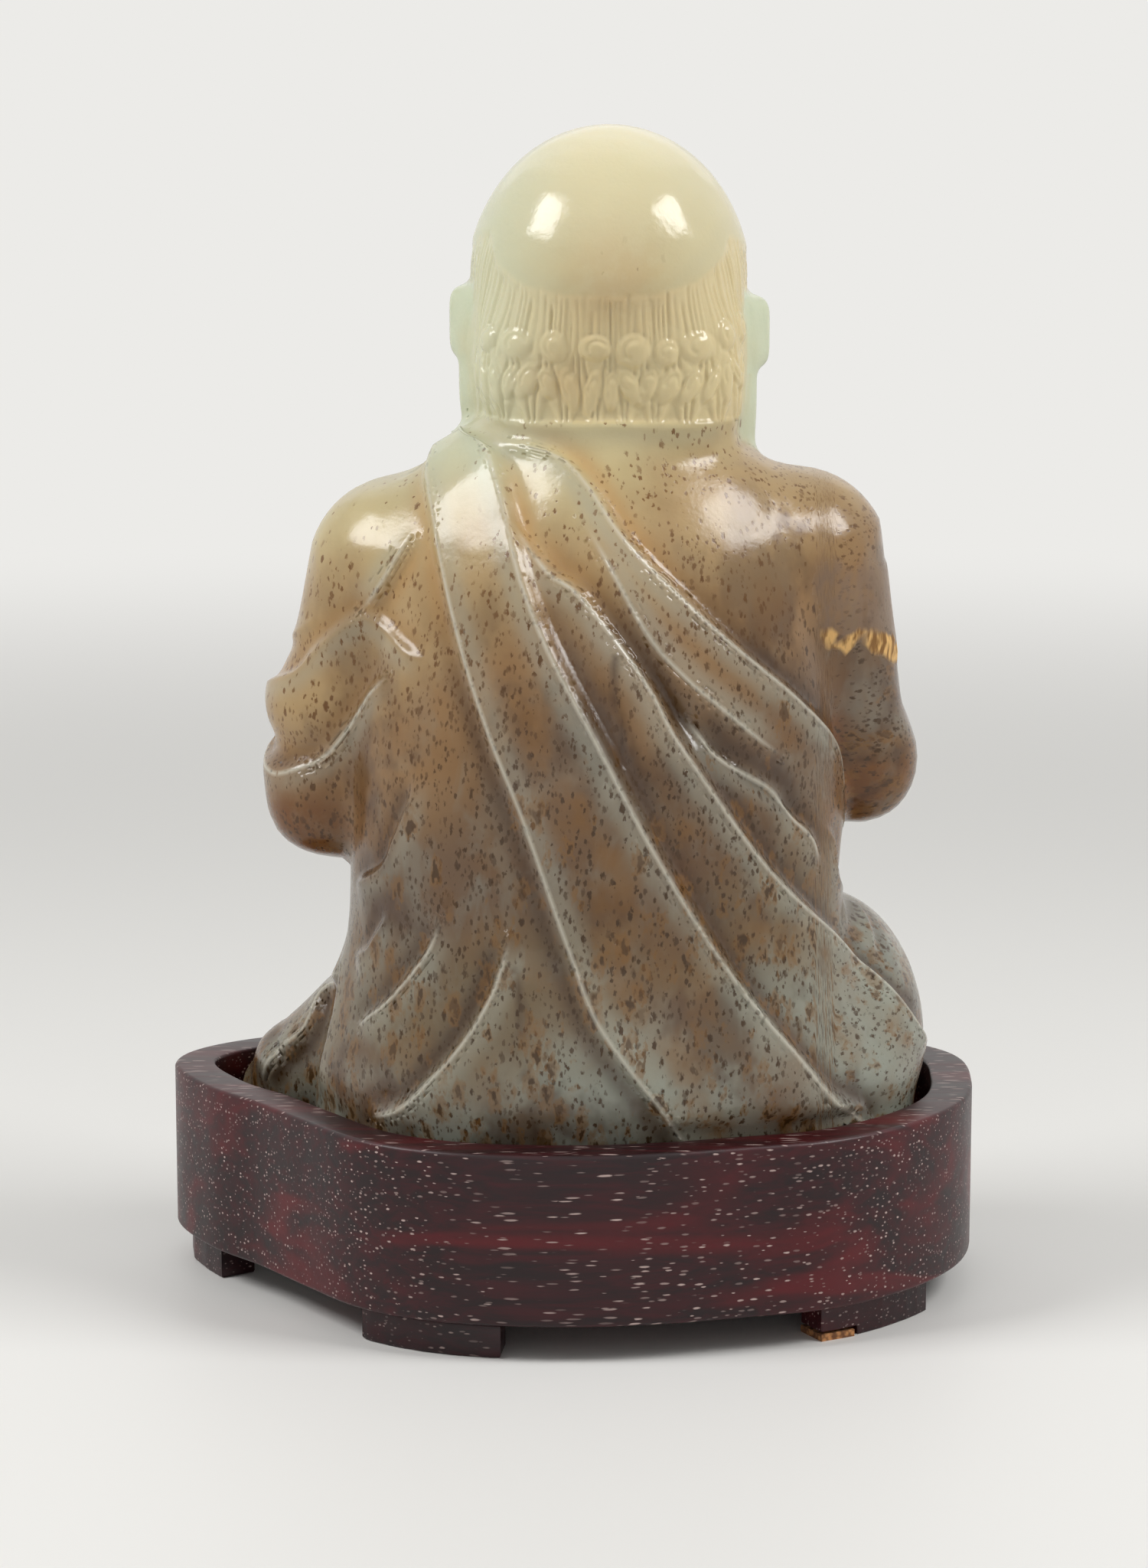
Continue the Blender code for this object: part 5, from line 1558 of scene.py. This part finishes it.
def cork_material(colours, specks):
    """Cork chip: tan grains with dark flecks between them."""
    made, nodes, shader = surface("cork", Roughness=0.8)
    grains = nodes.cells(nodes.place(), 0.7 * MM)
    colour = nodes.mixed(nodes.step(grains, 0.2, 0.7), colours.cork, colours.cork_dark)
    place, size = nodes.place(), 1 / (0.8 * MM)
    flecks = group_node(nodes, specks, Place=place, Size=size, Shake=0.4, Share=0.3, Reach=0.4)
    colour = nodes.mixed(flecks["Mask"], colour, colours.cork_dark)
    wire(nodes, shader, Base_Color=colour, Normal=nodes.bump(grains, 0.1 * MM))
    return made


def colour_setting(name, description, red, green, blue):
    return FloatVectorProperty(
        name=name, description=description, default=srgb(red, green, blue), subtype="COLOR",
        min=0.0, max=1.0,
    )


def length_setting(name, description, default):
    return FloatProperty(
        name=name, description=description, default=default, unit="LENGTH", precision=5
    )


class FigureSettings(bpy.types.PropertyGroup):
    """Sizes and colours of the jade figure."""

    grid: length_setting("Grid", "Spacing of the skin's even squares before it is made finer", 1.8 * MM)
    strand_pitch: length_setting("Strand pitch", "Width of a strand of hair at the hairline", 0.78 * MM)
    strand_depth: length_setting("Strand depth", "Depth of the grooves between strands", 0.23 * MM)
    curl_radius: length_setting("Curl radius", "Radius of a curl of the short hair", 1.7 * MM)
    curl_pitch: length_setting("Curl pitch", "Distance from curl to curl", 4.4 * MM)
    curl_height: length_setting("Curl height", "How far a curl stands out", 0.6 * MM)
    head: colour_setting("Head", "Pale yellow celadon of the crown", 220, 211, 174)
    neck: colour_setting("Neck", "Cream at the nape and shoulders' top", 202, 188, 142)
    shoulder: colour_setting("Shoulder", "Cream-tan of the shoulders", 178, 150, 106)
    back: colour_setting("Back", "Tan of the middle of the back", 146, 112, 73)
    mauve: colour_setting("Mauve", "Mauve-brown below the arms", 106, 82, 60)
    low: colour_setting("Low", "Grey-brown above the base", 116, 98, 72)
    base: colour_setting("Base", "Blue-grey white near the seat", 150, 153, 140)
    cloud: colour_setting("Cloud", "Bluish clouds in the stone", 136, 136, 124)
    dusk: colour_setting("Dusk", "Darker clouds in the stone", 72, 50, 34)
    # Valley: brown in the folds' valleys, partly iron stain and partly painted shade of the crease; it
    # also colours the cracks.
    valley: colour_setting("Valley", "Stain in the deep folds", 64, 40, 18)
    # Honey: in the upper folds partly stain and partly painted shade; also the upper colour of the
    # stains.
    honey: colour_setting("Honey", "Stain in the upper folds", 188, 143, 84)
    # Crest: painted light, the pale band that light through a fold's thin edge would show.
    crest: colour_setting("Crest", "Bluish band beside the edges of the folds", 168, 168, 152)
    hair: colour_setting("Hair", "Cream of the short hair", 224, 205, 160)
    mint: colour_setting("Mint", "Greenish white of the ears and the head's left side", 207, 216, 190)
    rust: colour_setting("Rust", "Specks in the upper part", 112, 72, 26)
    dark_rust: colour_setting("Dark rust", "Specks in the lower part", 62, 38, 6)
    # Stain: also the colour of the painted shade inside the right arm.
    stain_and_shade: colour_setting("Stain", "Russet stains at the elbows and low down", 112, 68, 24)
    halo: colour_setting("Halo", "Tint round the larger specks", 128, 88, 38)
    skin: colour_setting("Skin", "Patch of the stone's own skin", 128, 104, 84)
    skin_edge: colour_setting("Skin edge", "Ragged edge of that patch", 222, 178, 112)
    # Painted highlight: the glint along the folds' sharp edges.
    edge_glint: colour_setting("Thin edge", "Light through the sharp edges of the folds", 214, 210, 194)


class StandSettings(bpy.types.PropertyGroup):
    """Sizes and colours of the stand."""

    edge_round: length_setting("Edge round", "Radius of the block's edges", 0.6 * MM)
    foot_round: length_setting("Foot round", "Radius of the feet's edges", 0.4 * MM)
    wood: colour_setting("Wood", "Dark maroon wood", 54, 7, 15)
    wood_dark: colour_setting("Dark wood", "Darkest bands of the wood", 26, 5, 9)
    wood_red: colour_setting("Red wood", "Reddest bands of the wood", 96, 8, 18)
    pore: colour_setting("Pore", "Pale filler in the pores", 196, 172, 166)
    cork: colour_setting("Cork", "Tan of the shim", 190, 134, 84)
    cork_dark: colour_setting("Dark cork", "Dark flecks of the shim", 110, 70, 42)


FLOOR_SIDES = 96
FLOOR_RADIUS = 3.0


class StudioSettings(bpy.types.PropertyGroup):
    """Floor, background, lamps and camera."""

    floor: colour_setting("Floor", "Colour of the floor and background", 236, 235, 232)
    key: FloatProperty(
        name="Key", description="Power of each of the two main lamps", default=2.1, unit="POWER"
    )
    fill: FloatProperty(
        name="Fill", description="Power of the lamps behind and in front", default=1.05, unit="POWER"
    )
    sky: FloatProperty(name="Sky", description="Strength of the light from all round", default=0.26)
    elevation: FloatProperty(
        name="Elevation", description="Camera's height above the horizon",
        default=math.radians(9.8), unit="ROTATION",
    )
    distance: length_setting("Distance", "From the camera to the point it looks at", 520 * MM)
    lens: FloatProperty(
        name="Lens", description="Camera's focal length in millimetres", default=90.49, unit="CAMERA"
    )


def shared_specks():
    return bpy.data.node_groups.get("specks") or specks_group()


class JADE_OT_figure(bpy.types.Operator):
    """Carve the jade figure"""

    bl_idname = "jade_figure.figure"
    bl_label = "Carved figure"

    def execute(self, context):
        settings = context.scene.jade_figure
        made = jade_material(settings, shared_specks())
        piece("figure_jade", figure_mesh(settings), "jade", "jade_figure", material=made)
        return {"FINISHED"}


class JADE_OT_block(bpy.types.Operator):
    """Saw and polish the stand's block"""

    bl_idname = "jade_figure.block"
    bl_label = "Stand's block"

    def execute(self, context):
        settings = context.scene.jade_stand
        made = wood_material("stand_wood", settings, shared_specks())
        piece("block_wood", block_mesh(settings), "stand_wood", "stand_block", material=made)
        return {"FINISHED"}


class JADE_OT_feet(bpy.types.Operator):
    """Glue the four feet under the block"""

    bl_idname = "jade_figure.feet"
    bl_label = "Stand's feet"

    def execute(self, context):
        settings = context.scene.jade_stand
        made = wood_material("foot_wood", settings, shared_specks(), 0.35)
        for node, bearing in FOOT_BEARINGS.items():
            name = node.replace("foot_", "foot_wood_")
            if node == SHIMMED_FOOT:
                frame["nodes"][node].data.materials.clear()
                frame["nodes"][node].data.materials.append(made)
                continue
            piece(name, foot_mesh(name, bearing, settings), "foot_wood", node, material=made)
        return {"FINISHED"}


class JADE_OT_shim(bpy.types.Operator):
    """Slip the cork shim under its foot"""

    bl_idname = "jade_figure.shim"
    bl_label = "Cork shim"

    def execute(self, context):
        made = cork_material(context.scene.jade_stand, shared_specks())
        node = frame["nodes"]["cork_shim"]
        node.data.materials.clear()
        node.data.materials.append(made)
        return {"FINISHED"}


def floor_material(colour, near, far):
    """The floor's own surface near the object, fading with distance into plain background."""
    made, nodes, shader = surface("floor", Roughness=0.55)
    shader["Base Color"].default_value = (*colour, 1.0)
    speckle = nodes.noise(nodes.place(), 2 * MM, 2.0)
    wire(nodes, shader, Normal=nodes.bump(speckle, 0.02 * MM))
    flat = nodes.place(scale=(1, 1, 0))
    away = nodes.add("ShaderNodeVectorMath", {0: flat}, operation="LENGTH").outputs["Value"]
    glow = nodes.add("ShaderNodeEmission", {"Color": (*colour, 1.0), "Strength": 1.0}).outputs[0]
    share = nodes.product(nodes.step(away, near, far), nodes.seen())
    mix = nodes.add("ShaderNodeMixShader", {0: share, 2: glow})
    nodes.tree.links.new(nodes.tree.nodes["Principled BSDF"].outputs[0], mix.inputs[1])
    nodes.tree.links.new(mix.outputs[0], nodes.tree.nodes["Material Output"].inputs["Surface"])
    return made


def lamp(name, power, size, place, target):
    """A square soft lamp that faces a target."""
    light = bpy.data.lights.new(name, "AREA")
    light.energy = power
    light.size = size
    made = bpy.data.objects.new(name, light)
    made.location = place
    made.rotation_euler = (Vector(target) - Vector(place)).to_track_quat("-Z", "Y").to_euler()
    bpy.context.scene.collection.objects.link(made)


# Point on the figure's axis that the camera looks at
LOOK_AT = np.array([-0.0004, -0.00225, 0.0675])


class JADE_OT_studio(bpy.types.Operator):
    """Set the floor, background, lamps and camera"""

    bl_idname = "jade_figure.studio"
    bl_label = "Studio"

    def execute(self, context):
        settings = context.scene.jade_studio
        scene = context.scene
        rim = directions(1, FLOOR_SIDES)[:FLOOR_SIDES] * (FLOOR_RADIUS, FLOOR_RADIUS, 0.0)
        rings = [rim * share for share in (0.05, 0.2, 0.6, 1.0)]
        points = np.concatenate([*rings, [(0, 0, 0)]])
        index = np.arange(FLOOR_SIDES)
        after = np.roll(index, -1)
        middle = np.full(FLOOR_SIDES, len(points) - 1)
        faces = np.stack([middle, index, after], axis=-1).tolist()
        for ring in range(len(rings) - 1):
            inner, outer = ring * FLOOR_SIDES, (ring + 1) * FLOOR_SIDES
            quads = [inner + index, outer + index, outer + after, inner + after]
            faces += np.stack(quads, axis=-1).tolist()
        floor = new_object("floor", mesh_of("floor", points, faces))
        floor.data.materials.append(floor_material(tuple(settings.floor), 0.25, 0.9))
        self.set_background(scene, tuple(settings.floor), settings.sky)
        middle = Vector(LOOK_AT)
        for side in (-1, 1):
            lamp("key_lamp", settings.key, 0.24, (side * 0.43, 0.14, 0.5), middle + Vector((0, 0, 0.03)))
        lamp("back_lamp", settings.fill, 1.0, (0, 0.8, 0.45), middle)
        lamp("front_lamp", settings.fill, 1.0, (0, -0.6, 0.75), middle)
        self.set_camera(scene, settings, middle)
        scene.view_settings.view_transform = "Standard"
        return {"FINISHED"}

    def set_background(self, scene, colour, sky):
        world = bpy.data.worlds.new("studio")
        world.use_nodes = True
        scene.world = world
        nodes = Nodes(world.node_tree)
        strength = nodes.step(nodes.seen(), 0.0, 1.0, sky, 1.0)
        background = world.node_tree.nodes["Background"]
        background.inputs["Color"].default_value = (*colour, 1.0)
        world.node_tree.links.new(strength, background.inputs["Strength"])

    def set_camera(self, scene, settings, middle):
        data = bpy.data.cameras.new("camera")
        data.sensor_fit = "VERTICAL"
        data.sensor_height = data.sensor_width = 36.0
        data.lens = settings.lens
        data.clip_start, data.clip_end = 0.01, 20.0
        camera = bpy.data.objects.new("camera", data)
        back = Vector((0, math.cos(settings.elevation), math.sin(settings.elevation)))
        camera.location = middle + back * settings.distance
        camera.rotation_euler = (-back).to_track_quat("-Z", "Y").to_euler()
        scene.collection.objects.link(camera)
        scene.camera = camera


OPERATORS = (JADE_OT_figure, JADE_OT_block, JADE_OT_feet, JADE_OT_shim, JADE_OT_studio)


class JADE_PT_panel(bpy.types.Panel):
    """Lists the pieces and the studio"""

    bl_idname = "JADE_PT_panel"
    bl_label = "Jade figure"
    bl_space_type = "VIEW_3D"
    bl_region_type = "UI"
    bl_category = "Jade figure"

    def draw(self, context):
        for operator in OPERATORS:
            self.layout.operator(operator.bl_idname)
        for name in SETTINGS:
            box = self.layout.box()
            settings = getattr(context.scene, name)
            for setting in settings.bl_rna.properties.keys():
                if setting not in ("rna_type", "name"):
                    box.prop(settings, setting)


SETTINGS = {"jade_figure": FigureSettings, "jade_stand": StandSettings, "jade_studio": StudioSettings}


def register():
    for group in (*SETTINGS.values(), *OPERATORS, JADE_PT_panel):
        bpy.utils.register_class(group)
    for name, group in SETTINGS.items():
        setattr(bpy.types.Scene, name, PointerProperty(type=group))


def unregister():
    for name in SETTINGS:
        delattr(bpy.types.Scene, name)
    for group in reversed((*SETTINGS.values(), *OPERATORS, JADE_PT_panel)):
        bpy.utils.unregister_class(group)


def main():
    register()
    for leftover in list(bpy.data.objects):
        if leftover.name in ("Cube", "Light", "Camera"):
            bpy.data.objects.remove(leftover)
    bpy.ops.jade_figure.figure()
    bpy.ops.jade_figure.block()
    bpy.ops.jade_figure.feet()
    bpy.ops.jade_figure.shim()
    bpy.ops.jade_figure.studio()


if __name__ == "__main__":
    main()
